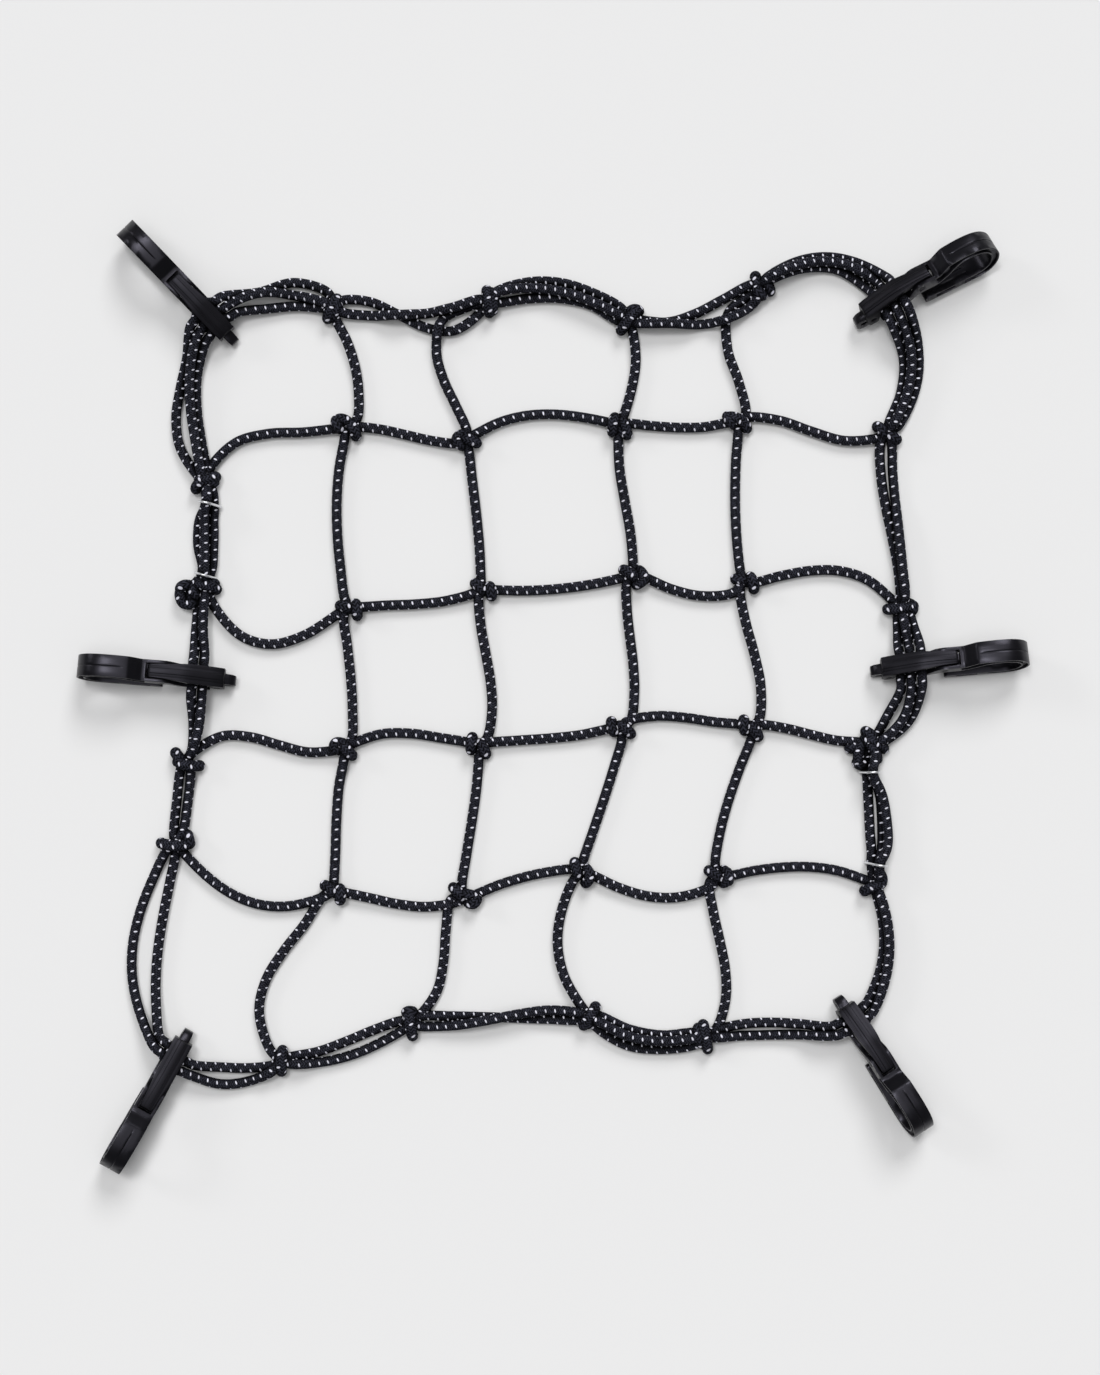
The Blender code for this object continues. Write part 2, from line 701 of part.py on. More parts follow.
def main():
    for old in list(bpy.data.objects):
        bpy.data.objects.remove(old)
    net, paths = make_net(make_material("braided_cord", BRAIDED_CORD))
    wire = make_material("zinc_wire", ZINC_WIRE)
    for name, clip in CLIPS.items():
        make_clip(name, clip, paths, wire)
    body = make_hook_body(make_material("moulded_nylon", MOULDED_NYLON))
    lever = make_lever(make_material("lever_nylon", LEVER_NYLON))
    place_hooks(body, lever)


main()
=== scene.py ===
import math
from collections import namedtuple

import bpy
from mathutils import Matrix, Vector


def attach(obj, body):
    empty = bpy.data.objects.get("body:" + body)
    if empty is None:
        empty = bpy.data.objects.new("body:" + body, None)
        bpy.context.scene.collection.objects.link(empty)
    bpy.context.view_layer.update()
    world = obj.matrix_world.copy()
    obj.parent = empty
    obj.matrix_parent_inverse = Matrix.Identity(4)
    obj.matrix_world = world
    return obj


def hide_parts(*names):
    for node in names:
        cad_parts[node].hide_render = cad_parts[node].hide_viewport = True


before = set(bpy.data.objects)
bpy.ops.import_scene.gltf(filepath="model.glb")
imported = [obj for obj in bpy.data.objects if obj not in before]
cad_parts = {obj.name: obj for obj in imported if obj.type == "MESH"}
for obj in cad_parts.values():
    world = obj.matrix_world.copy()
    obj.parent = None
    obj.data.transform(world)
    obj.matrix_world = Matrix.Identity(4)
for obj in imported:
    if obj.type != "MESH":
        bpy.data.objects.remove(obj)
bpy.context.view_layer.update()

# Luggage net: elastic cord knotted into a mesh, four wire clips, six snap hooks.
# Sizes are in millimetres and become metres when a mesh is made. +Y is the row of knots T1 to T4.

mm = 0.001
netBody = "net_and_hooks"

# small tools

def say(stage):
    print("luggage net:", stage)


def linear(hexColour):
    channels = [int(hexColour[i:i + 2], 16) / 255 for i in (1, 3, 5)]
    curve = [c / 12.92 if c <= 0.04045 else ((c + 0.055) / 1.055) ** 2.4 for c in channels]
    return (*curve, 1.0)


def addNode(tree, kind, settings=None, inputs=None):  # an input is a value, a socket or a whole node
    node = tree.nodes.new(kind)
    for key, value in (settings or {}).items():
        setattr(node, key, value)
    for key, value in (inputs or {}).items():
        if isinstance(value, bpy.types.Node):
            value = value.outputs[0]
        if isinstance(value, bpy.types.NodeSocket):
            tree.links.new(value, node.inputs[key])
        else:
            node.inputs[key].default_value = value
    return node


def newMaterial(name):
    material = bpy.data.materials.new(name)
    material.use_nodes = True
    return material, material.node_tree.nodes["Principled BSDF"]


def toMetres(*values):
    return tuple(value * mm for value in values)


def selectNone():
    bpy.ops.object.select_all(action="DESELECT")


def placePiece(piece, body, slotName, *replaced):
    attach(piece, body)
    if replaced:
        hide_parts(*replaced)


# camera, floor and light

photo = {
    "wide": 1100,  # pixels
    "high": 1375,
    "pixel": 0.5,  # mm of the net to a pixel
    "originX": 553,  # pixel of the net's own origin
    "originY": 697,
}
studio = {
    "cameraHeight": 1500,  # mm over the cords
    "focusPlane": 5,
    "sensor": 36,  # mm, on the long side of the frame
    "floorSize": 6000,
    "floorBelow": 0.2,  # mm between the floor and what lies on it
    "floor": "#e9e9e9",
    "world": 0.2,
    "worldColour": "#f9f9fb",
}
# Softboxes far away, as wide suns: where each stands, clockwise from +Y, how high, how strong
# and how wide. All but the strength are degrees.
SoftBox = namedtuple("SoftBox", "name bearing height strength width")
softBoxes = (
    SoftBox("key", 17, 41, 1.36, 24),
    SoftBox("ceiling", 0, 85, 0.81, 50),
    SoftBox("sparkle", -32, 70, 0.85, 14),
    SoftBox("edge", -61, 27, 0.28, 14),
)


def makeCamera():
    x = (photo["wide"] / 2 - photo["originX"]) * photo["pixel"]
    y = (photo["originY"] - photo["high"] / 2) * photo["pixel"]
    data = bpy.data.cameras.new("camera")
    data.sensor_width = studio["sensor"]
    data.lens = studio["sensor"] * studio["cameraHeight"] / (photo["high"] * photo["pixel"])
    camera = bpy.data.objects.new("camera", data)
    camera.location = Vector((x, y, studio["cameraHeight"] + studio["focusPlane"])) * mm
    bpy.context.scene.collection.objects.link(camera)
    bpy.context.scene.camera = camera


def makeFloor():
    selectNone()
    place = toMetres(0, 0, -studio["floorBelow"])
    bpy.ops.mesh.primitive_plane_add(size=studio["floorSize"] * mm, location=place)
    floor = bpy.context.object
    floor.name = "floor"
    material, shader = newMaterial("paperBackground")  # uncoated paper: pale, matt and even
    shader.inputs["Base Color"].default_value = linear(studio["floor"])
    shader.inputs["Roughness"].default_value = 0.9
    shader.inputs["Specular IOR Level"].default_value = 0.1
    floor.data.materials.append(material)


def makeSoftBox(box):
    bearing, height = math.radians(box.bearing), math.radians(box.height)
    level = math.cos(height)
    towards = Vector((math.sin(bearing) * level, math.cos(bearing) * level, math.sin(height)))
    data = bpy.data.lights.new(box.name, "SUN")
    data.energy = box.strength
    data.angle = math.radians(box.width)
    light = bpy.data.objects.new(box.name, data)
    light.rotation_euler = (-towards).to_track_quat("-Z", "Y").to_euler()
    bpy.context.scene.collection.objects.link(light)


def makeStudio():
    makeCamera()
    makeFloor()
    for box in softBoxes:
        makeSoftBox(box)
    world = bpy.data.worlds.new("studio")
    world.use_nodes = True
    background = world.node_tree.nodes["Background"]
    background.inputs["Color"].default_value = linear(studio["worldColour"])
    background.inputs["Strength"].default_value = studio["world"]
    bpy.context.scene.world = world
    bpy.context.scene.view_settings.view_transform = "Standard"
    say("camera, floor and light")


# the finishes

cord = {
    "radius": 2.5,
    "sides": 14,
    "ringSpacing": 1.5,
    "clearance": 0.1,  # between the floor and the lowest point of a cord
    "rest": 2.6,  # height of the middle of a cord that lies on the floor
    "atKnot": 4.6,  # and where it goes into a knot
    "rise": 20.0,  # length over which it climbs to a knot
    "eyeRise": 32.0,  # and to a hook's eye
    "knotEdge": 4.0,  # how far from its middle a knot lets a cord come into sight
    "nookEdge": 1.0,
    "step": 17.0,  # from bend to bend
    "stack": 5.1,  # from cord to cord where one lies on another
    "stackFade": 10.0,  # length over which that climb sets in
    "stackEases": 4,  # how many times it is evened out
    "eyeReach": 11.0,  # how far the cords keep their places on each side of a hook
    "clipReach": 7.0,  # how far along the cords a clip draws them in
    "fleckPitch": 5.0,
    "phaseStep": 0.6180339,  # from strand to strand, so that their flecks don't line up
    "shiftStep": 0.7548777,
}
braid = {
    "colour": "#373842",
    "shade": "#050506",
    "paintedShadeReach": 5.0,  # mm within which a near surface darkens the fibres: painted shade in creases and on the flanks
    # how strongly that painted shade darkens them
    "paintedShadeDepth": 3.6,
    "fleck": "#e6e6f2",
    "fleckAcross": 0.95,  # half its length, mm, round the cord
    "fleckAlong": 0.4,  # half its width, mm
    "fleckEdge": (1.35, 0.7),  # where its oval starts to show and where it is full
    "fleckWorn": 0.7,  # how much of its white the most worn fleck keeps
    "rows": 4,  # of flecks round the cord
    "rowShift": 0.42,  # of the pitch, from row to row
    "slant": 0.15,  # of the pitch, across a row
    "columns": 12,  # of V shaped stitches, drawn coarser than the real 24 so that they show
    "stitch": 1.25,  # mm along the cord from V to V, drawn coarser too
    "slope": 0.8,  # stitches that a strand climbs across its column
    "stitchHeight": 0.6,  # how much stitches and fibres count in the relief and the tone
    "fibreHeight": 3.0,
    "fibreLong": 3.0,  # mm along and round the cord, of the strands' own unevenness
    "fibreWide": 1.0,
    "fibreDetail": 2.0,
    "fibreRoughness": 0.6,
    "toneFrom": 0.9,  # heights of stitch and fibre that are darkest and lightest; the lighter high ones are partly a painted sheen
    "toneTo": 2.4,
    "bump": 0.6,
    "bumpDepth": 0.12,  # mm
}


def makeBraid():
    # Braided polyester over rubber, as woven: a soft dull black with short white tracer flecks, with
    # painted shade and a painted sheen mixed into its colour.
    material, shader = newMaterial("braidedPolyester")
    tree = material.node_tree
    multiply, subtract, floor, fraction = (
        {"operation": name} for name in ("MULTIPLY", "SUBTRACT", "FLOOR", "FRACT"))
    multiplyAdd, remainder, zigzag, sine, power = (
        {"operation": name} for name in ("MULTIPLY_ADD", "FLOORED_MODULO", "PINGPONG", "SINE", "POWER"))
    uv = addNode(tree, "ShaderNodeUVMap", {"uv_map": "cordUV"})
    split = addNode(tree, "ShaderNodeSeparateXYZ", None, {"Vector": uv})
    along, around = split.outputs["X"], split.outputs["Y"]  # in fleck pitches and in turns

    # the flecks: an oval in each cell of a slanted grid, some more worn than others
    rows = addNode(tree, "ShaderNodeMath", multiply, {0: around, 1: braid["rows"]})
    row = addNode(tree, "ShaderNodeMath", floor, {0: rows})
    inRow = addNode(tree, "ShaderNodeMath", fraction, {0: rows})
    across = addNode(tree, "ShaderNodeMath", subtract, {0: inRow, 1: 0.5})
    odd = addNode(tree, "ShaderNodeMath", remainder, {0: row, 1: 2.0})
    shifted = addNode(tree, "ShaderNodeMath", multiplyAdd, {0: odd, 1: braid["rowShift"], 2: along})
    slanted = addNode(tree, "ShaderNodeMath", multiplyAdd, {0: across, 1: braid["slant"], 2: shifted})
    cell = addNode(tree, "ShaderNodeMath", floor, {0: slanted})
    inCell = addNode(tree, "ShaderNodeMath", fraction, {0: slanted})
    ahead = addNode(tree, "ShaderNodeMath", subtract, {0: inCell, 1: 0.5})
    girth = math.tau * cord["radius"]
    cellLong = cord["fleckPitch"] / braid["fleckAlong"]
    rowWide = girth / braid["rows"] / braid["fleckAcross"]
    inOval = addNode(tree, "ShaderNodeCombineXYZ", None, {"X": ahead, "Y": across})
    sized = addNode(tree, "ShaderNodeVectorMath", multiply, {0: inOval, 1: (cellLong, rowWide, 0)})
    squares = addNode(tree, "ShaderNodeVectorMath", {"operation": "DOT_PRODUCT"}, {0: sized, 1: sized})
    outer, inner = braid["fleckEdge"]
    fleck = addNode(tree, "ShaderNodeMapRange", {"interpolation_type": "SMOOTHSTEP"},
                    {"Value": squares.outputs["Value"], "From Min": outer, "From Max": inner})
    where = addNode(tree, "ShaderNodeCombineXYZ", None, {"X": cell, "Y": row})
    chance = addNode(tree, "ShaderNodeTexWhiteNoise", {"noise_dimensions": "2D"}, {"Vector": where})
    worn = addNode(tree, "ShaderNodeMapRange", None,
                   {"Value": chance.outputs["Value"], "To Min": braid["fleckWorn"], "To Max": 1.0})
    cover = addNode(tree, "ShaderNodeMath", multiply, {0: fleck, 1: worn})

    # the stitches: strands that climb one way in a column and the other way in the next
    columns = addNode(tree, "ShaderNodeMath", multiply, {0: around, 1: braid["columns"]})
    toAndFro = addNode(tree, "ShaderNodeMath", zigzag, {0: columns, 1: 1.0})
    climb = addNode(tree, "ShaderNodeMath", subtract, {0: toAndFro, 1: 0.5})
    slope = addNode(tree, "ShaderNodeMath", multiply, {0: climb, 1: braid["slope"]})
    toStitches = cord["fleckPitch"] / braid["stitch"]
    stitches = addNode(tree, "ShaderNodeMath", multiplyAdd, {0: along, 1: toStitches, 2: slope})
    turned = addNode(tree, "ShaderNodeMath", multiply, {0: stitches, 1: math.tau})
    weave = addNode(tree, "ShaderNodeMath", sine, {0: turned})
    weaveHeight = addNode(tree, "ShaderNodeMath", multiply, {0: weave, 1: braid["stitchHeight"]})

    # the fibres, and the painted shade that darkens them in creases and near the floor
    toLong, toWide = cord["fleckPitch"] / braid["fibreLong"], girth / braid["fibreWide"]
    onCord = addNode(tree, "ShaderNodeVectorMath", multiply, {0: uv, 1: (toLong, toWide, 0)})
    fibre = addNode(tree, "ShaderNodeTexNoise", None, {
        "Vector": onCord, "Scale": 1.0,
        "Detail": braid["fibreDetail"], "Roughness": braid["fibreRoughness"]})
    height = addNode(tree, "ShaderNodeMath", multiplyAdd,
                     {0: fibre.outputs["Fac"], 1: braid["fibreHeight"], 2: weaveHeight})
    # the tone is the weave's own pattern and partly a painted sheen: raised stitches and fibres are
    # painted lighter
    tone = addNode(tree, "ShaderNodeMapRange", None,
                   {"Value": height, "From Min": braid["toneFrom"], "From Max": braid["toneTo"]})
    # painted shade: ambient occlusion darkens the braid's colour between strands, in the knots and on
    # the flanks near the floor
    paintedShade = addNode(tree, "ShaderNodeAmbientOcclusion", None, {"Distance": braid["paintedShadeReach"] * mm})
    lit = addNode(tree, "ShaderNodeMath", power, {0: paintedShade.outputs["AO"], 1: braid["paintedShadeDepth"]})
    toneLit = addNode(tree, "ShaderNodeMath", multiply, {0: tone, 1: lit})
    black = addNode(tree, "ShaderNodeMix", {"data_type": "RGBA"},
                    {"Factor": toneLit, "A": linear(braid["shade"]), "B": linear(braid["colour"])})
    colour = addNode(tree, "ShaderNodeMix", {"data_type": "RGBA"},
                     {"Factor": cover, "A": black.outputs["Result"], "B": linear(braid["fleck"])})
    bump = addNode(tree, "ShaderNodeBump", None, {
        "Strength": braid["bump"], "Distance": braid["bumpDepth"] * mm, "Height": height})
    tree.links.new(colour.outputs["Result"], shader.inputs["Base Color"])
    tree.links.new(bump.outputs["Normal"], shader.inputs["Normal"])
    shader.inputs["Roughness"].default_value = 0.7
    shader.inputs["Specular IOR Level"].default_value = 0.03
    return material


# where the cords and knots lie

Place = namedtuple("Place", "x y")
knots = {
    # inner knots, rows from +Y to -Y
    "K11": Place(-103.5, 134.5),
    "K12": Place(-44.0, 128.5),
    "K13": Place(33.0, 135.5),
    "K14": Place(92.5, 137.0),
    "K21": Place(-102.0, 45.0),
    "K22": Place(-36.0, 54.0),
    "K23": Place(40.0, 61.0),
    "K24": Place(95.0, 58.0),
    "K31": Place(-105.0, -25.5),
    "K32": Place(-37.0, -24.5),
    "K33": Place(33.5, -15.5),
    "K34": Place(99.5, -15.5),
    "K41": Place(-110.0, -97.0),
    "K42": Place(-44.0, -100.0),
    "K43": Place(14.5, -87.5),
    "K44": Place(83.0, -89.0),
    # knots on the border, clockwise
    "T1": Place(-109.5, 194.5),
    "T2": Place(-32.5, 198.0),
    "T3": Place(37.5, 188.5),
    "T4": Place(103.5, 205.5),
    "R1": Place(167.0, 132.0),
    "R2": Place(174.0, 44.5),
    "R3": Place(158.5, -24.0),
    "R4": Place(160.5, -93.0),
    "B4": Place(76.0, -170.0),
    "B3": Place(18.0, -159.5),
    "B2": Place(-71.0, -162.5),
    "B1": Place(-136.0, -182.0),
    "L4": Place(-189.0, -73.0),
    "L3": Place(-183.0, -31.0),
    "L2": Place(-173.0, 55.5),
    "L1": Place(-173.5, 107.5),
}
stoppers = {  # the two ends of the cord, each knotted beside a border knot
    "L2end": Place(-183.0, 51.0),
    "R3end": Place(152.0, -29.5),
}
nooks = {  # where the second and fourth cord bend away from the border
    "nook2": Place(-55.5, 188.5),
    "nook4": Place(87.5, 191.5),
}
places = {**knots, **nooks}

# The middle of the eye, the direction from the open end to the tab, the lean to the left, and
# how far the cords bend towards the tab beside the eye, on its left and on its right.
Hook = namedtuple("Hook", "x y heading lean bendLeft bendRight")
hooks = {
    "top_left": Hook(-173.5, 192.5, -46.0, 0.0, 5.0, 5.0),
    "top_right": Hook(168.5, 198.5, -153.5, -26.0, -0.5, 0.5),
    "left": Hook(-179.5, 10.5, -4.5, 8.0, -1.5, -1.0),
    "right": Hook(179.5, 16.0, -175.0, -14.0, 1.0, 0.0),
    "bottom_left": Hook(-192.0, -185.2, 59.5, -6.0, 5.0, 1.5),
    "bottom_right": Hook(154.0, -167.5, 121.5, -10.0, 4.7, 5.0),
}

# A section lies to the left of the straight line between its two places by four amounts:
# at its start, at one and two thirds, at its end.
Section = namedtuple("Section", "start end atStart third twoThirds atEnd")
downCords = (
    Section("T1", "K11", -2, 5.5, 8, 4.5),
    Section("K11", "K21", 0.5, -5, -5, -1.5),
    Section("K21", "K31", -3, 0.5, 3.5, 3.5),
    Section("K31", "K41", 1.5, -1, -0.5, 0),
    Section("K41", "B1", -3.5, -12.5, -19.5, -3),
    Section("nook2", "K12", 0, -6, -2, 2),
    Section("K12", "K22", 1, 1.5, 1.5, 0),
    Section("K22", "K32", -1, 1.5, 6, 2.5),
    Section("K32", "K42", 0, 0.5, -1, -2),
    Section("K42", "B2", -6, -1, 5.5, 0),
    Section("T3", "K13", 0.5, 5.5, 4.5, 0.5),
    Section("K13", "K23", 0, -1.5, 0.5, 0),
    Section("K23", "K33", -2.5, 0, 5, 4),
    Section("K33", "K43", 2, 2, 0.5, -1),
    Section("K43", "B3", -2, -12.5, -12.5, 0),
    Section("nook4", "K14", 0, -1.5, 3, 3.5),
    Section("K14", "K24", 0.5, -2, -2.5, -0.5),
    Section("K24", "K34", -1.5, 1, 5.5, 2.5),
    Section("K34", "K44", 1.5, -2, -4, -2),
    Section("K44", "B4", -4.5, 1.5, 8.5, 3),
)
crossCords = (
    Section("L1", "K11", 2, 13.5, 7.5, 1),
    Section("K11", "K12", 0.5, 1, -1.5, -1.5),
    Section("K12", "K13", -0.5, 9, 8, 0.5),
    Section("K13", "K14", 1.5, -0.5, -1.5, 1.5),
    Section("K14", "R1", 2, 2, -4.5, -0.5),
    Section("L2", "K21", -3, -23.5, -19.5, 1),
    Section("K21", "K22", -0.5, -2, -3.5, -0.5),
    Section("K22", "K23", 0, -3, -3, 0),
    Section("K23", "K24", 1.5, -5.5, -8.5, -4),
    Section("K24", "R2", -2, 9, 13, -1),
    Section("L3", "K31", 0, 10, 1.5, 0.5),
    Section("K31", "K32", -0.5, 7, 5, 1),
    Section("K32", "K33", 1, 0, -1, 1),
    Section("K33", "K34", 2, 6, 3.5, 1.5),
    Section("K34", "R3", 1.5, 2, 0, 1.5),
    Section("L4", "K41", 0, -14.5, -16.5, -1),
    Section("K41", "K42", 0, -3.5, -6, -1),
    Section("K42", "K43", -1, 2.5, 3.5, 1.5),
    Section("K43", "K44", 1, -9, -12, -3.5),
    Section("K44", "R4", -1.5, 4.5, 6, -0.5),
)
# The border runs clockwise. A later cord of a group climbs over an earlier one.
borderCords = (
    (
        Section("T1", "T2", 2, -1, -13.5, 0),
        Section("nook2", "T2", 0, 1.5, 1, 0),
        Section("T1", "T2", -1.5, -5, -4, 2),
    ),
    (
        Section("T2", "T3", -1.5, 5, 6, -3.5),
        Section("T2", "T3", 3, 13.5, 12.5, 3.5),
        Section("T2", "T3", 2.5, 9.5, 7.5, 0),
    ),
    (
        Section("nook4", "T4", 0, 1, 0, -1),
        Section("T3", "T4", 2, -6, -2.5, 2),
        Section("T3", "T4", -2, -8, -12, -4),
    ),
    (
        Section("R1", "R2", -2.5, -4, -0.5, 0),
        Section("R1", "R2", 2, 1.5, 2, 2),
    ),
    (
        Section("R3", "R4", -2, -1.5, -1, -0.5),
        Section("R3", "R4", 2.5, 4.5, 5, 2),
        Section("R3", "R4", 2, 5, 7.5, 3),
    ),
    (
        Section("B4", "B3", -3, 3, 3, -2.5),
        Section("B4", "B3", 3, 10, 11, 1.5),
        Section("B4", "B3", -0.5, 5.5, 6, -1),
    ),
    (
        Section("B3", "B2", 2, 0.5, -1.5, -2.5),
        Section("B3", "B2", -0.5, -3, 1.5, 1.5),
    ),
    (
        Section("B2", "B1", -1.5, -1, 1, -1.5),
        Section("B2", "B1", 1, 6.5, 7, 1),
    ),
    (
        Section("L4", "L3", 1, 2, 2.5, 2),
        Section("L4", "L3", -2.5, -3, -3, -1.5),
    ),
    (
        Section("L2", "L1", -1.5, -3, -3.5, -2.5),
        Section("L2", "L1", 1.5, 4.5, 4, 2),
        Section("L2", "L1", 0.3, 1, 0.8, 0),
    ),
)
# A wire clip on the border cords between two knots: its middle, how far it is turned askew, and
# how far from it the cords' middles stay where it holds them together.
Clip = namedtuple("Clip", "start end x y skew hold")
clips = {
    "left_top": Clip("L2", "L1", -170.8, 96.3, -14.0, 2.2),
    "left_low": Clip("L2", "L1", -173.8, 60.7, -16.0, 1.9),
    "right_top": Clip("R3", "R4", 157.3, -37.4, 0.0, 1.9),
    "right_low": Clip("R3", "R4", 160.9, -83.5, -10.0, 1.9),
}
# A run through a hook's eye: as a section before and after it, with its seat in the eye between.
Run = namedtuple("Run", "start hook end atStart third twoThirds seat thirdOn twoThirdsOn atEnd")
hookCords = (
    (
        Run("L1", "top_left", "T1", 0.5, 12.5, 7.5, 1, 5, 11.5, 4),
        Run("L1", "top_left", "T1", -1, 3, 5, -1, 1.5, 2, -1),
        Run("L1", "top_left", "T1", 1, 4.5, 5.5, 0, 6.5, 5.5, 1),
    ),
    (
        Run("T4", "top_right", "R1", 1.5, 12, 11.5, 1, 9.5, 10, 2.5),
        Run("T4", "top_right", "R1", 0.5, 9, 10.5, -1, 7.5, 6, -1.5),
        Run("T4", "top_right", "R1", 1, 10, 11, 0, 8, 7.5, 0.5),
    ),
    (
        Run("R2", "right", "R3", -1.5, -1, -0.5, -1, 0.5, 1, 0),
        Run("R2", "right", "R3", 2, 2, 1, 1, 6.5, 6.5, 1.5),
        Run("R2", "right", "R3", 0, 0, 0, 0, 5.5, 5, 1.5),
    ),
    (
        Run("R4", "bottom_right", "B4", -0.5, 6, 6.5, -1, -3, -4.5, -1),
        Run("R4", "bottom_right", "B4", 0.5, 7, 7, 0, 0, 0, 0.5),
    ),
    (
        Run("B1", "bottom_left", "L4", 1, 3, 2, -1, 5, 3, -1),
        Run("B1", "bottom_left", "L4", 2, 7.5, 7.5, 0, 15.5, 14, 2),
    ),
    (
        Run("L3", "left", "L2", -1.5, -2, -1.5, 0, 1.5, 2.5, 2.5),
        Run("L3", "left", "L2", -1.5, -2, -2, -1, 1, 1, 0.5),
    ),
)

turnLook = {
    "spread": 1.12,  # how much fuller the knots lie than the middles of their turns in the table
    "radius": 2.85,  # tied cord is squeezed wider
    "foot": 3.4,  # height where a turn comes out of its knot
    "tuck": 25,  # degrees that each end curls back under
    "blunt": 0.75,  # under 1 makes its back broader than a half circle
    "steps": 18,
}
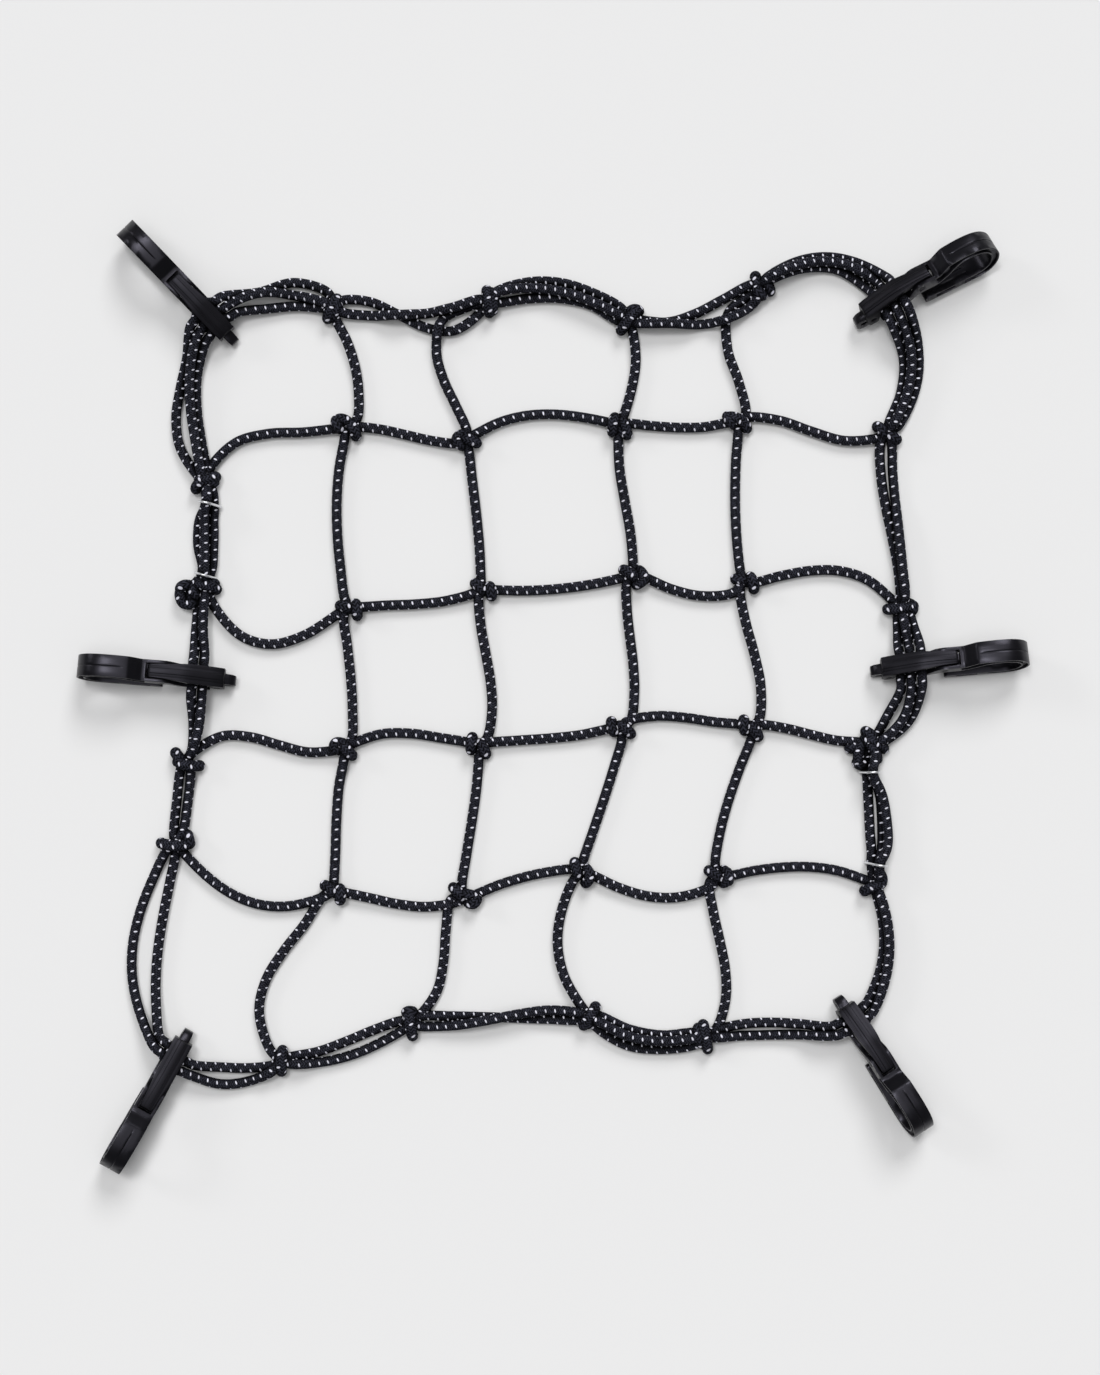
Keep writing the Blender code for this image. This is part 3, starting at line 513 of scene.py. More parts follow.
# A turn of cord that crosses over a knot: its two ends from the knot's middle, how far it bows
# to the left between them, and how high its back would stand if the cord weren't squeezed.
Turn = namedtuple("Turn", "knot x1 y1 x2 y2 bow top")
turns = (
    Turn("K11", -3.2, 4.0, 1.5, 1.8, 0.8, 8.0),
    Turn("K11", -4.4, 3.4, -2.6, -0.3, -0.5, 8.8),
    Turn("K11", 1.8, 1.6, 4.4, -3.5, 0.7, 9.4),
    Turn("K12", -0.8, 2.6, -1.2, -2.4, -3.0, 8.6),
    Turn("K12", -0.4, 0.6, 5.1, -1.2, 0.3, 9.4),
    Turn("K13", 0.0, 1.4, 1.4, -3.4, 0.0, 7.6),
    Turn("K13", 0.8, 2.2, 3.6, -3.8, 0.5, 8.6),
    Turn("K13", -1.8, 3.8, -2.8, -2.6, -0.3, 9.4),
    Turn("K14", 1.4, 0.8, 3.9, -2.3, 0.4, 8.2),
    Turn("K14", -4.6, 3.0, -1.6, -0.6, -0.5, 8.4),
    Turn("K14", -3.4, 2.8, 3.4, -0.6, 0.6, 9.2),
    Turn("K21", -4.0, 0.6, 0.8, -0.8, 0.3, 8.6),
    Turn("K21", 2.9, 1.4, 3.6, -3.8, 0.4, 9.4),
    Turn("K22", -2.6, 2.5, 1.2, -0.9, 0.3, 8.4),
    Turn("K22", 3.9, 1.1, 4.7, -3.1, 0.4, 9.4),
    Turn("K23", 2.8, 2.0, 1.6, -4.2, 2.9, 8.8),
    Turn("K23", -4.1, 2.3, 1.4, -1.2, 0.3, 9.3),
    Turn("K24", -3.2, 0.9, 1.2, 0.0, 0.4, 7.8),
    Turn("K24", 3.3, 1.8, 4.9, -3.5, 0.3, 9.4),
    Turn("K31", -3.8, -0.8, -0.2, 2.0, 2.2, 8.4),
    Turn("K31", -3.2, 1.0, -1.4, -1.0, 0.0, 7.6),
    Turn("K31", -0.4, 1.2, 4.0, -3.4, 0.3, 9.4),
    Turn("K32", 0.4, 1.0, 3.0, -3.6, 0.5, 8.8),
    Turn("K32", -3.0, 3.8, -3.5, -1.7, -0.3, 9.3),
    Turn("K33", -3.8, 2.8, -2.6, -1.7, -0.5, 8.6),
    Turn("K33", -0.2, 1.0, 4.8, -2.6, 0.5, 9.3),
    Turn("K34", -3.6, 3.6, -3.2, -1.1, -0.4, 8.8),
    Turn("K34", -0.6, 0.9, 2.8, -3.9, 0.3, 9.3),
    Turn("K41", -3.6, 2.4, 0.8, -0.8, 0.2, 8.8),
    Turn("K41", 3.0, 0.9, 3.1, -4.1, 0.4, 9.4),
    Turn("K42", -1.0, 1.4, 4.4, 0.2, 0.3, 8.2),
    Turn("K42", -5.2, 4.1, -1.2, 0.2, 0.2, 9.0),
    Turn("K42", 5.2, -0.6, 1.6, -2.6, 1.4, 9.0),
    Turn("K43", -3.2, 4.2, -1.3, -1.4, -0.3, 9.0),
    Turn("K43", 1.8, 1.4, 1.7, -4.9, 1.9, 9.4),
    Turn("K44", -4.4, 1.9, 0.6, -1.2, 0.2, 9.0),
    Turn("K44", 2.2, 1.9, 2.0, -3.5, 2.3, 9.2),
    Turn("K44", 3.6, 1.0, 4.2, -2.6, 0.2, 8.0),
    Turn("T1", 1.6, 1.6, -0.6, -3.8, -0.2, 8.8),
    Turn("T1", 1.2, 4.2, -2.9, -4.6, -0.5, 9.6),
    Turn("T2", 1.4, 3.9, 2.0, -4.0, 0.5, 9.4),
    Turn("T2", -0.5, 4.8, 0.6, -5.1, 0.0, 10.2),
    Turn("T3", 0.6, 3.2, 4.8, 4.0, 1.1, 8.4),
    Turn("T3", 4.2, 4.2, -3.0, -4.4, -0.4, 9.8),
    Turn("T4", -2.0, 4.4, -1.2, -0.6, 0.0, 8.8),
    Turn("T4", 1.4, 1.8, 4.5, -2.2, 0.6, 8.6),
    Turn("T4", -1.4, -1.0, 1.2, -4.0, -0.8, 9.8),
    Turn("R1", -4.2, 2.9, -1.0, -0.6, 0.3, 9.0),
    Turn("R1", 0.6, -1.2, 4.3, -2.9, 0.3, 9.4),
    Turn("R2", 3.4, 2.0, 5.0, -1.2, 1.0, 8.6),
    Turn("R2", -5.8, -0.5, 5.6, 0.9, -0.4, 9.8),
    Turn("R3", -1.8, 6.0, 2.8, 0.6, 0.8, 9.0),
    Turn("R3", -2.2, 2.6, 6.2, -1.6, 0.8, 9.8),
    Turn("R4", 2.6, 4.2, 1.4, -1.6, 1.7, 8.6),
    Turn("R4", 3.6, 0.2, -4.1, -3.6, -0.3, 9.6),
    Turn("B4", -3.0, 3.8, -1.2, -3.0, -0.3, 9.2),
    Turn("B4", -0.8, 5.4, 1.2, -5.4, 0.0, 10.0),
    Turn("B3", 2.9, 4.0, -2.4, -4.2, 0.0, 9.8),
    Turn("B3", -3.0, -2.2, 0.4, -3.2, -0.6, 8.8),
    Turn("B2", -2.0, 4.2, 0.6, 4.4, 0.6, 8.6),
    Turn("B2", -1.2, 4.6, 0.6, -6.3, 0.0, 10.0),
    Turn("B1", 0.6, 4.6, 0.1, -4.7, 0.0, 9.8),
    Turn("L4", 5.6, 3.4, 6.5, -0.2, 0.3, 8.6),
    Turn("L4", -6.3, -0.1, 6.3, -0.4, -0.8, 10.0),
    Turn("L3", -5.2, 2.8, -1.5, -1.4, 0.0, 8.8),
    Turn("L3", -4.3, -1.2, 5.5, -3.0, -0.6, 9.6),
    Turn("L2", -5.4, 0.6, 4.1, -1.4, 0.9, 9.6),
    Turn("L2", -4.4, 2.0, 3.2, 1.0, 0.5, 8.9),
    Turn("L2", -5.6, 0.8, -4.2, -4.8, -1.2, 8.8),
    Turn("L1", -4.6, -3.0, -1.0, 0.2, 0.6, 8.8),
    Turn("L1", -3.4, -1.0, 3.4, -0.2, 0.2, 8.9),
    Turn("L1", -3.1, 0.9, 4.2, 2.3, -0.2, 9.6),
    Turn("L2end", 0.8, 2.4, 1.4, -2.6, 0.4, 6.8),
    Turn("L2end", -2.2, -2.8, 3.4, -3.4, -1.2, 8.0),
    Turn("L2end", -2.6, 2.6, -1.6, -3.6, -0.9, 8.4),
    Turn("L2end", -3.0, 2.8, 0.4, 4.4, 0.6, 9.4),
    Turn("R3end", -3.2, 3.4, 1.6, 4.0, 0.0, 7.0),
    Turn("R3end", 0.2, -2.8, 3.2, -3.4, -1.0, 7.8),
    Turn("R3end", 2.0, 5.2, 0.6, -3.4, -0.8, 8.8),
    Turn("R3end", 4.4, 6.2, 9.0, -1.4, 0.8, 9.8),
)


def through4(points, t):  # the cubic through four points at 0, 1/3, 2/3 and 1
    stops = (0.0, 1 / 3, 2 / 3, 1.0)
    total = Vector((0.0, 0.0))
    for i, point in enumerate(points):
        weight = 1.0
        for j, stop in enumerate(stops):
            if j != i:
                weight *= (t - stop) / (stops[i] - stop)
        total += point * weight
    return total


def bentLine(start, end, offsets, fromEdge, toEdge):  # points of a section, from edge to edge
    chord = end - start
    left = Vector((-chord.y, chord.x)).normalized()
    through = [start + chord * (i / 3) + left * offset for i, offset in enumerate(offsets)]
    pieces = max(2, round(chord.length / cord["step"]))
    low, high = fromEdge / chord.length, 1 - toEdge / chord.length
    return [through4(through, low + (high - low) * k / pieces) for k in range(pieces + 1)]


def placeXY(name):
    return Vector((places[name].x, places[name].y))


def edgeOf(name):  # how far from its middle a knot lets a cord come into sight
    return cord["knotEdge"] if name in knots else cord["nookEdge"]


def heightAt(place, distance):
    if place not in knots:
        return cord["rest"]
    near = max(0.0, 1 - distance / cord["rise"])
    return cord["rest"] + (cord["atKnot"] - cord["rest"]) * near * near


def sectionPath(row):
    start, end = placeXY(row.start), placeXY(row.end)
    flat = bentLine(start, end, row[2:], edgeOf(row.start), edgeOf(row.end))
    path = []
    for point in (start, *flat, end):
        fromStart, fromEnd = (point - start).length, (point - end).length
        height = max(heightAt(row.start, fromStart), heightAt(row.end, fromEnd))
        path.append(Vector((point.x, point.y, height)))
    return path


# the hook's own directions: u from the open end to the tab, v across, w up
hookFrame = {
    "width": 11.0,
    "eye": 57.5,  # u of the place that the table of hooks gives
    "leanAxis": 10.0,  # w of the line that a hook leans about
    "armTopStart": (53.0, 9.9),  # u and w where the arm's sloping top starts
    "armSlope": -0.3526,
    "cordSeat": 2.86,  # from the arm's top to the middle of a cord on it
    "seat": 58.5,  # u of the middle cord in the eye
    "eyeBends": ((6.0, 0.85, 0.0), (11.0, 1.0, 2.5)),  # v, share of the bend, mm sunk
    "cordPitch": 5.1,  # from cord to cord in the eye
    "hinge": (43.0, 14.6),  # u and w of the lever's pin
}


def hookMatrix(hook):
    lean = math.radians(hook.lean)
    height = hookFrame["leanAxis"] * math.cos(lean) + hookFrame["width"] / 2 * math.sin(abs(lean))
    return (
        Matrix.Translation((hook.x, hook.y, height))
        @ Matrix.Rotation(math.radians(hook.heading), 4, "Z")
        @ Matrix.Rotation(-lean, 4, "X")
        @ Matrix.Translation((-hookFrame["eye"], 0, -hookFrame["leanAxis"]))
    )


def armTop(u):
    startU, startW = hookFrame["armTopStart"]
    return startW + hookFrame["armSlope"] * (u - startU)


def runPath(row):
    hook = hooks[row.hook]
    matrix = hookMatrix(hook)
    u = hookFrame["seat"] - row.seat * hookFrame["cordPitch"]
    w = armTop(u) + hookFrame["cordSeat"]
    eye = [Vector((u, 0, w))]
    for reach, share, sunk in hookFrame["eyeBends"]:
        eye.insert(0, Vector((u + hook.bendRight * share, -reach, w - sunk)))
        eye.append(Vector((u + hook.bendLeft * share, reach, w - sunk)))
    eye = [matrix @ point for point in eye]
    for point in eye:
        point.z = max(point.z, cord["rest"])
    start, end = placeXY(row.start), placeXY(row.end)
    if (eye[0].xy - start).length > (eye[-1].xy - start).length:
        eye.reverse()
    bends = (row.atStart, row.third, row.twoThirds, 0)
    before = bentLine(start, eye[0].xy, bends, edgeOf(row.start), 0)[:-1]
    bends = (0, row.thirdOn, row.twoThirdsOn, row.atEnd)
    after = bentLine(eye[-1].xy, end, bends, 0, edgeOf(row.end))[1:]
    path = []
    for knot, nearEye, points in ((row.start, eye[0], before), (row.end, eye[-1], after)):
        side = []
        for point in points:
            resting = heightAt(knot, (point - placeXY(knot)).length)
            away = (point - nearEye.xy).length / cord["eyeRise"]
            blend = max(0.0, 1 - away) ** 2
            side.append(Vector((*point, resting + (nearEye.z - resting) * blend)))
        path.append(side)
    ends = [Vector((*place, cord["atKnot"])) for place in (start, end)]
    return [ends[0], *path[0], *eye, *path[1], ends[1]]


def smoothLine(points, spacing):  # an even run of points on a smooth curve through the given ones
    # a Catmull-Rom curve that is timed by the square roots of the distances, so it makes no loops
    ghosts = [points[0] * 2 - points[1], *points, points[-1] * 2 - points[-2]]
    fine = []
    for a, b, c, d in zip(ghosts, ghosts[1:], ghosts[2:], ghosts[3:]):
        count = max(2, round((c - b).length / spacing))
        times = [0.0]
        for p, q in ((a, b), (b, c), (c, d)):
            times.append(times[-1] + max((q - p).length, 1e-6) ** 0.5)
        t0, t1, t2, t3 = times
        for k in range(count):
            t = t1 + (t2 - t1) * k / count
            ab = a * ((t1 - t) / (t1 - t0)) + b * ((t - t0) / (t1 - t0))
            bc = b * ((t2 - t) / (t2 - t1)) + c * ((t - t1) / (t2 - t1))
            cd = c * ((t3 - t) / (t3 - t2)) + d * ((t - t2) / (t3 - t2))
            abc = ab * ((t2 - t) / (t2 - t0)) + bc * ((t - t0) / (t2 - t0))
            bcd = bc * ((t3 - t) / (t3 - t1)) + cd * ((t - t1) / (t3 - t1))
            fine.append(abc * ((t2 - t) / (t2 - t1)) + bcd * ((t - t1) / (t2 - t1)))
    fine.append(points[-1].copy())
    return fine


def layOver(path, below, eye):  # lifts a fine path over the fine paths that it would cut through
    for point in path:
        calm = min((point - path[0]).length, (point - path[-1]).length)
        if eye:
            calm = min(calm, max(0.0, (point.xy - eye).length - cord["eyeReach"]))
        fade = min(1.0, calm / cord["stackFade"])
        for other in below:
            near = min(other, key=lambda spot: (spot.xy - point.xy).length_squared)
            gap = (near.xy - point.xy).length
            if gap < cord["stack"]:
                over = near.z + math.sqrt(cord["stack"] ** 2 - gap ** 2)
                point.z = max(point.z, point.z + (over - point.z) * fade)
    for _ in range(cord["stackEases"]):
        heights = [point.z for point in path]
        for i in range(1, len(path) - 1):
            path[i].z = (heights[i - 1] + 2 * heights[i] + heights[i + 1]) / 4


def clipFrame(clip):  # its middle, the way on along the cords, and the way across them
    ahead = Matrix.Rotation(math.radians(clip.skew), 2) @ (placeXY(clip.end) - placeXY(clip.start))
    ahead.normalize()
    return Vector((clip.x, clip.y)), ahead, Vector((-ahead.y, ahead.x))


def holdTogether(paths, clip):  # draws fine paths in to a clip
    middle, ahead, left = clipFrame(clip)
    for path in paths:
        for point in path:
            along, side = (point.xy - middle).dot(ahead), (point.xy - middle).dot(left)
            wanted = max(-clip.hold, min(clip.hold, side))
            step = left * ((wanted - side) * math.exp(-(along / cord["clipReach"]) ** 2))
            point.x += step.x
            point.y += step.y


def turnPath(row):
    centre, spread = {**knots, **stoppers}[row.knot], turnLook["spread"]
    start = Vector((centre.x + spread * row.x1, centre.y + spread * row.y1))
    end = Vector((centre.x + spread * row.x2, centre.y + spread * row.y2))
    chord = end - start
    left = Vector((-chord.y, chord.x)).normalized()
    foot, tuck = turnLook["foot"], math.radians(turnLook["tuck"])
    path = []
    for k in range(turnLook["steps"] + 1):
        angle = -tuck + (math.pi + 2 * tuck) * k / turnLook["steps"]
        share = (1 - math.cos(angle)) / 2
        lift = math.sin(angle)
        if lift > 0:
            height = foot + (row.top - cord["radius"] - foot) * lift ** turnLook["blunt"]
        else:
            height = foot + lift
        spot = start + chord * share + left * (row.bow * 4 * share * (1 - share))
        path.append(Vector((spot.x, spot.y, height)))
    return path


def cordPiece(name, paths, material, radius=cord["radius"]):
    points, faces, uvs = [], [], []
    sides = cord["sides"]
    for number, path in enumerate(paths):
        upward = Vector((0, 0, 1))
        travelled = 0.0
        phase = (number * cord["phaseStep"]) % 1.0
        shift = (number * cord["shiftStep"]) % 1.0
        rings = []
        for point in path:
            point.z = max(point.z, radius + cord["clearance"])
        for i, point in enumerate(path):
            ahead = (path[min(i + 1, len(path) - 1)] - path[max(i - 1, 0)]).normalized()
            upward = (upward - ahead * upward.dot(ahead)).normalized()
            across = ahead.cross(upward)
            if i:
                travelled += (point - path[i - 1]).length
            rings.append((len(points), travelled))
            for k in range(sides):
                angle = math.tau * k / sides
                out = across * math.cos(angle) + upward * math.sin(angle)
                points.append((point + out * radius) * mm)
        for (base, here), (after, there) in zip(rings, rings[1:]):
            for k in range(sides):
                j = (k + 1) % sides
                faces.append((base + k, after + k, after + j, base + j))
                for step, along in ((0, here), (0, there), (1, there), (1, here)):
                    uvs.append(along / cord["fleckPitch"] + shift)
                    uvs.append((k + step) / sides + phase)
        for (base, along), order in ((rings[0], 1), (rings[-1], -1)):
            faces.append(tuple(range(base, base + sides))[::order])
            uvs.extend([along / cord["fleckPitch"] + shift, phase] * sides)
    mesh = bpy.data.meshes.new(name)
    mesh.from_pydata(points, [], faces)
    mesh.uv_layers.new(name="cordUV").data.foreach_set("uv", uvs)
    mesh.materials.append(material)
    mesh.shade_smooth()
    piece = bpy.data.objects.new(name, mesh)
    bpy.context.scene.collection.objects.link(piece)
    placePiece(piece, netBody, "braided_cord", "net")


def fineGroup(coarse, held=(), eye=None):  # the cords of one group, smoothed and laid over each other
    fine = [smoothLine(path, cord["ringSpacing"]) for path in coarse]
    for clip in held:
        holdTogether(fine, clip)
    for number, path in enumerate(fine):
        layOver(path, fine[:number], eye)
    return fine


def makeNet(material):
    paths = [sectionPath(row) for row in (*downCords, *crossCords) if row.start not in nooks]
    cordPiece("meshCords", [smoothLine(path, cord["ringSpacing"]) for path in paths], material)
    finePaths = {}
    for group in borderCords:
        coarse = []
        for row in group:
            path = sectionPath(row)
            if row.start in nooks:  # the mesh cord turns into the border: up it, and on from the nook
                onward = next(down for down in downCords if down.start == row.start)
                path = sectionPath(onward)[:1:-1] + path[:1] + path[2:]
            coarse.append(path)
        between = (group[0].start, group[0].end)
        held = [clip for clip in clips.values() if (clip.start, clip.end) == between]
        finePaths[between] = fineGroup(coarse, held)
    cordPiece("borderCords", [path for group in finePaths.values() for path in group], material)
    runs = []
    for group in hookCords:
        hook = hooks[group[0].hook]
        runs.extend(fineGroup([runPath(row) for row in group], eye=Vector((hook.x, hook.y))))
    cordPiece("hookCords", runs, material)
    cordPiece("knotTurns", [turnPath(row) for row in turns], material, turnLook["radius"])
    say("cords and knots")
    return finePaths


# hooks: a moulded claw, neck, arm and tab in one, and a lever hinged in its slot

hookLook = {
    "rounding": 0.45,  # mm, on the moulding's edges
    "roundFrom": 38,  # degrees between two faces whose edge is rounded
    "smoothTo": 40,
    "ringSpacing": 2.6,
    "partingHalf": 0.35,  # the groove where the two halves of the mould meet
    "partingDepth": 0.3,
    "partingTo": (24.5, 9),  # it lies on the claw's outside, up to this u and down to this w
    "clawMiddle": (16, 0, 12),
    "ribs": (1.3, 2.5),  # two ribs inside the lower arm, between these v
    "ribEnds": (17, 38),  # and these u
    "ribRise": 0.5,
    "ribSlope": 0.2,
    "lowerArmTop": 5,
    "rim": 0.75,  # what is left of the side round its recess
    "web": (0.2, 1.3),  # how far the recess narrows and how deep it goes
    "recessEnd": 36,
    "bridge": (21.5, 24.5),  # u between which the lower arm's side isn't recessed
    "tabSlot": (74.6, 4.2, 1.7, 1.0),  # an oval: u, w, half length, half height
    "slot": (34.8, 47.8, 3.9),  # for the lever's head: from u, to u, half its width
    "slotHeights": (5, 25),
    "pinRadius": 1.55,
    "pinSides": 24,
}
# The claw, neck and arm from the claw's tip on: the point on the outside and the one inside.
Ring = namedtuple("Ring", "outU outW inU inW")
bodyRings = (
    Ring(42.0, 1.1, 42.0, 2.7),
    Ring(41.2, 0.3, 41.1, 3.5),
    Ring(40.0, 0.0, 39.9, 3.75),
    Ring(30.0, 0.0, 30.0, 3.6),
    Ring(21.0, 0.0, 21.0, 3.6),
    Ring(12.5, 0.0, 12.8, 3.7),
    Ring(8.6, 0.4, 9.9, 4.3),
    Ring(5.2, 1.8, 7.4, 5.6),
    Ring(2.5, 4.3, 5.7, 7.6),
    Ring(0.8, 7.6, 4.8, 9.8),
    Ring(0.2, 11.4, 4.5, 12.0),
    Ring(0.9, 15.2, 4.9, 14.6),
    Ring(2.7, 18.6, 6.2, 16.9),
    Ring(5.4, 21.4, 8.4, 18.8),
    Ring(9.0, 23.2, 11.2, 19.9),
    Ring(13.2, 24.0, 14.6, 20.3),
    Ring(17.8, 24.1, 18.4, 20.1),
    Ring(22.6, 23.7, 21.6, 19.2),
    Ring(26.2, 23.1, 24.2, 17.6),
    Ring(27.2, 22.7, 25.0, 17.0),
    Ring(28.2, 21.9, 25.9, 16.2),
    Ring(30.4, 20.0, 28.0, 14.6),
    Ring(32.2, 18.4, 30.4, 13.2),
    Ring(33.2, 17.9, 31.8, 12.5),
    Ring(36.0, 17.9, 34.8, 11.5),
    Ring(39.0, 17.9, 37.8, 11.3),
    Ring(43.2, 17.9, 42.2, 11.3),
    Ring(46.6, 16.4, 45.4, 10.8),
    Ring(49.4, 13.0, 48.0, 9.5),
    Ring(51.6, 10.6, 50.6, 8.2),
    Ring(58.0, 8.2, 57.2, 5.8),
    Ring(66.2, 5.3, 65.4, 2.9),
)
# The tab that the lever's end snaps over, from the arm on: u, underside, top, half its width.
Level = namedtuple("Level", "u below above half")
tabLevels = (
    Level(64.4, 3.5, 5.6, 2.6),
    Level(66.2, 2.8, 10.2, 2.6),
    Level(69.0, 1.8, 9.7, 2.6),
    Level(72.4, 0.8, 8.5, 2.6),
    Level(75.0, 0.6, 7.6, 2.6),
    Level(77.0, 0.7, 6.9, 2.5),
    Level(78.5, 1.9, 5.3, 2.3),
)
# The lever's plate from its heel to its end.
leverLevels = (
    Level(35.7, 13.4, 15.6, 3.1),
    Level(36.7, 12.9, 16.2, 3.2),
    Level(36.8, 12.9, 19.2, 3.2),
    Level(38.4, 12.5, 19.35, 3.3),
    Level(40.4, 12.1, 19.4, 3.4),
    Level(43.0, 11.9, 19.4, 3.55),
    Level(45.4, 12.9, 19.3, 3.7),
    Level(47.4, 15.4, 19.15, 3.9),
    Level(50.0, 16.5, 18.9, 4.15),
    Level(53.5, 15.7, 18.5, 4.55),
    Level(57.0, 14.5, 17.6, 4.8),
    Level(62.0, 12.8, 15.9, 4.85),
    Level(70.0, 10.0, 13.1, 4.85),
    Level(73.4, 8.8, 11.5, 4.8),
)
leverLook = {
    "rounding": 0.35,
    "bandHalf": 2.6,  # the raised band along the lever's back
    "bandRise": 0.55,
    "ridgeHalf": 1.5,  # and the narrower one on it
    "ridgeRise": 0.35,
    "ridgeSlope": 0.3,
    "cheekFrom": 66.2,  # the cheeks that hold the tab hang from here on, outside of this v
    "cheekInside": 3.0,
    "cheekDrops": (3.52, 2.88),
    "cheekFoot": (69.8, 3.6),  # u and w that they narrow towards
    "cheekNarrow": (0.55, 1, 0.2),  # and the shares left of their length, width and slope there
    "pocket": (69.9, 7.2, 1.6, 1.0),  # an oval in each cheek: u, w, half length, half height
    "pocketDepth": 0.6,
    "pinPlay": 0.05,  # between the pin and its hole
    "pinShort": 0.15,  # how far its ends stay inside the hook's sides
}
# How a face or point is found: the distance from a plane that still counts as on it, in mm, and
# the least part of a normal that looks one way.
onPlane = 0.05
facing, square = 0.5, 0.9
mergeWithin = 0.02  # mm, of points that are the same
beyond = 1.0  # mm that a cutter reaches past what it cuts


def pickFaces(piece, wanted):  # selects the faces that a test on middle (mm) and normal picks
    bpy.ops.mesh.select_all(action="DESELECT")
    bpy.ops.object.mode_set(mode="OBJECT")
    for face in piece.data.polygons:
        if wanted(face.center / mm, face.normal):
            face.select = True
            for index in face.vertices:
                piece.data.vertices[index].select = True
    bpy.ops.object.mode_set(mode="EDIT")
    bpy.ops.mesh.select_mode(type="FACE")


def pickPoints(piece, wanted):  # the same for points
    bpy.ops.mesh.select_all(action="DESELECT")
    bpy.ops.object.mode_set(mode="OBJECT")
    for point in piece.data.vertices:
        point.select = bool(wanted(point.co / mm, point.normal))
    bpy.ops.object.mode_set(mode="EDIT")
    bpy.ops.mesh.select_mode(type="VERT")


def faceOutwards():
    bpy.ops.mesh.select_all(action="SELECT")
    bpy.ops.mesh.normals_make_consistent(inside=False)


def slicePiece(place, normal):  # cuts the open mesh along a plane, all faces taking part
    bpy.ops.mesh.select_all(action="SELECT")
    bpy.ops.mesh.bisect(plane_co=toMetres(*place), plane_no=normal)


def carryFace(number, step):  # the first face is moved to its place, a later one extruded
    if number:
        bpy.ops.mesh.extrude_region_move(TRANSFORM_OT_translate={"value": step})
    else:
        bpy.ops.transform.translate(value=step)


def turnFace(before, after, centre):  # the short way from one angle to another, about v
    turn = (after - before + math.pi) % math.tau - math.pi
    # with no window a positive turn goes from u towards w
    bpy.ops.transform.rotate(value=turn, orient_axis="Y", orient_type="GLOBAL", center_override=centre)


def sweepRings(name, rings, width):  # a face is extruded, turned and sized from ring to ring
    bpy.ops.mesh.primitive_plane_add(size=mm, location=(0, 0, 0))
    piece = bpy.context.object
    piece.name = name
    bpy.ops.object.mode_set(mode="EDIT")
    bpy.ops.transform.resize(value=(1, width, 1))
    lastMiddle, lastAngle, lastThick = Vector((0, 0, 0)), 0.0, mm
    for number, (outU, outW, inU, inW) in enumerate(rings):
        outside = Vector(toMetres(outU, 0, outW))
        inside = Vector(toMetres(inU, 0, inW))
        middle, across = (outside + inside) / 2, inside - outside
        angle = math.atan2(across.z, across.x)
        carryFace(number, middle - lastMiddle)
        turnFace(lastAngle, angle, middle)
        factor = across.length / lastThick
        bpy.ops.transform.resize(value=(factor, 1, factor), center_override=middle)
        lastMiddle, lastAngle, lastThick = middle, angle, across.length
    faceOutwards()
    return piece


def sweepLevels(name, levels):  # the same for an upright face that only moves and changes its size
    bpy.ops.mesh.primitive_plane_add(size=mm, location=(0, 0, 0), rotation=(0, math.pi / 2, 0))
    piece = bpy.context.object
    piece.name = name
    bpy.ops.object.transform_apply(location=True, rotation=True, scale=True)
    bpy.ops.object.mode_set(mode="EDIT")
    lastMiddle, lastWide, lastHigh = Vector((0, 0, 0)), 1.0, 1.0
    for number, (u, below, above, half) in enumerate(levels):
        middle = Vector(toMetres(u, 0, (above + below) / 2))
        wide, high = 2 * half, above - below
        carryFace(number, middle - lastMiddle)
        bpy.ops.transform.resize(value=(1, wide / lastWide, high / lastHigh), center_override=middle)
        lastMiddle, lastWide, lastHigh = middle, wide, high
    faceOutwards()
    return piece


def smoothRows(rows, spacing):  # further rows on a smooth curve through the given ones, none below 0
    smooth = smoothLine([Vector(row) for row in rows], spacing)
    return [[max(0.0, value) for value in row] for row in smooth]


def closeUp():  # ends the work in edit mode
    bpy.ops.mesh.select_all(action="SELECT")
    bpy.ops.mesh.remove_doubles(threshold=mergeWithin * mm)
    faceOutwards()
    bpy.ops.object.mode_set(mode="OBJECT")


def applyAll(piece):
    selectNone()
    piece.select_set(True)
    bpy.context.view_layer.objects.active = piece
    for modifier in list(piece.modifiers):
        bpy.ops.object.modifier_apply(modifier=modifier.name)


def mergeWith(piece, other, operation):
    modifier = piece.modifiers.new(operation.lower(), "BOOLEAN")
    modifier.operation = operation
    modifier.solver = "EXACT"
    modifier.object = other
    applyAll(piece)
    bpy.data.objects.remove(other)


def roundEdges(piece, width):
    modifier = piece.modifiers.new("rounding", "BEVEL")
    modifier.width = width * mm
    modifier.segments = 2
    modifier.limit_method = "ANGLE"
    modifier.angle_limit = math.radians(hookLook["roundFrom"])
    modifier.harden_normals = False
    applyAll(piece)
    bpy.ops.object.shade_smooth_by_angle(angle=math.radians(hookLook["smoothTo"]))


def makeRound(u, w, halfLong, halfHigh, low, high):  # a round or oval bar across the hook
    bpy.ops.mesh.primitive_cylinder_add(
        vertices=hookLook["pinSides"], radius=mm, depth=(high - low) * mm,
        location=toMetres(u, (low + high) / 2, w), rotation=(math.pi / 2, 0, 0))
    bar = bpy.context.object
    bpy.ops.object.transform_apply(location=True, rotation=True, scale=True)
    bpy.ops.object.mode_set(mode="EDIT")
    bpy.ops.transform.resize(value=(halfLong, 1, halfHigh), center_override=toMetres(u, 0, w))
    bpy.ops.object.mode_set(mode="OBJECT")
    return bar


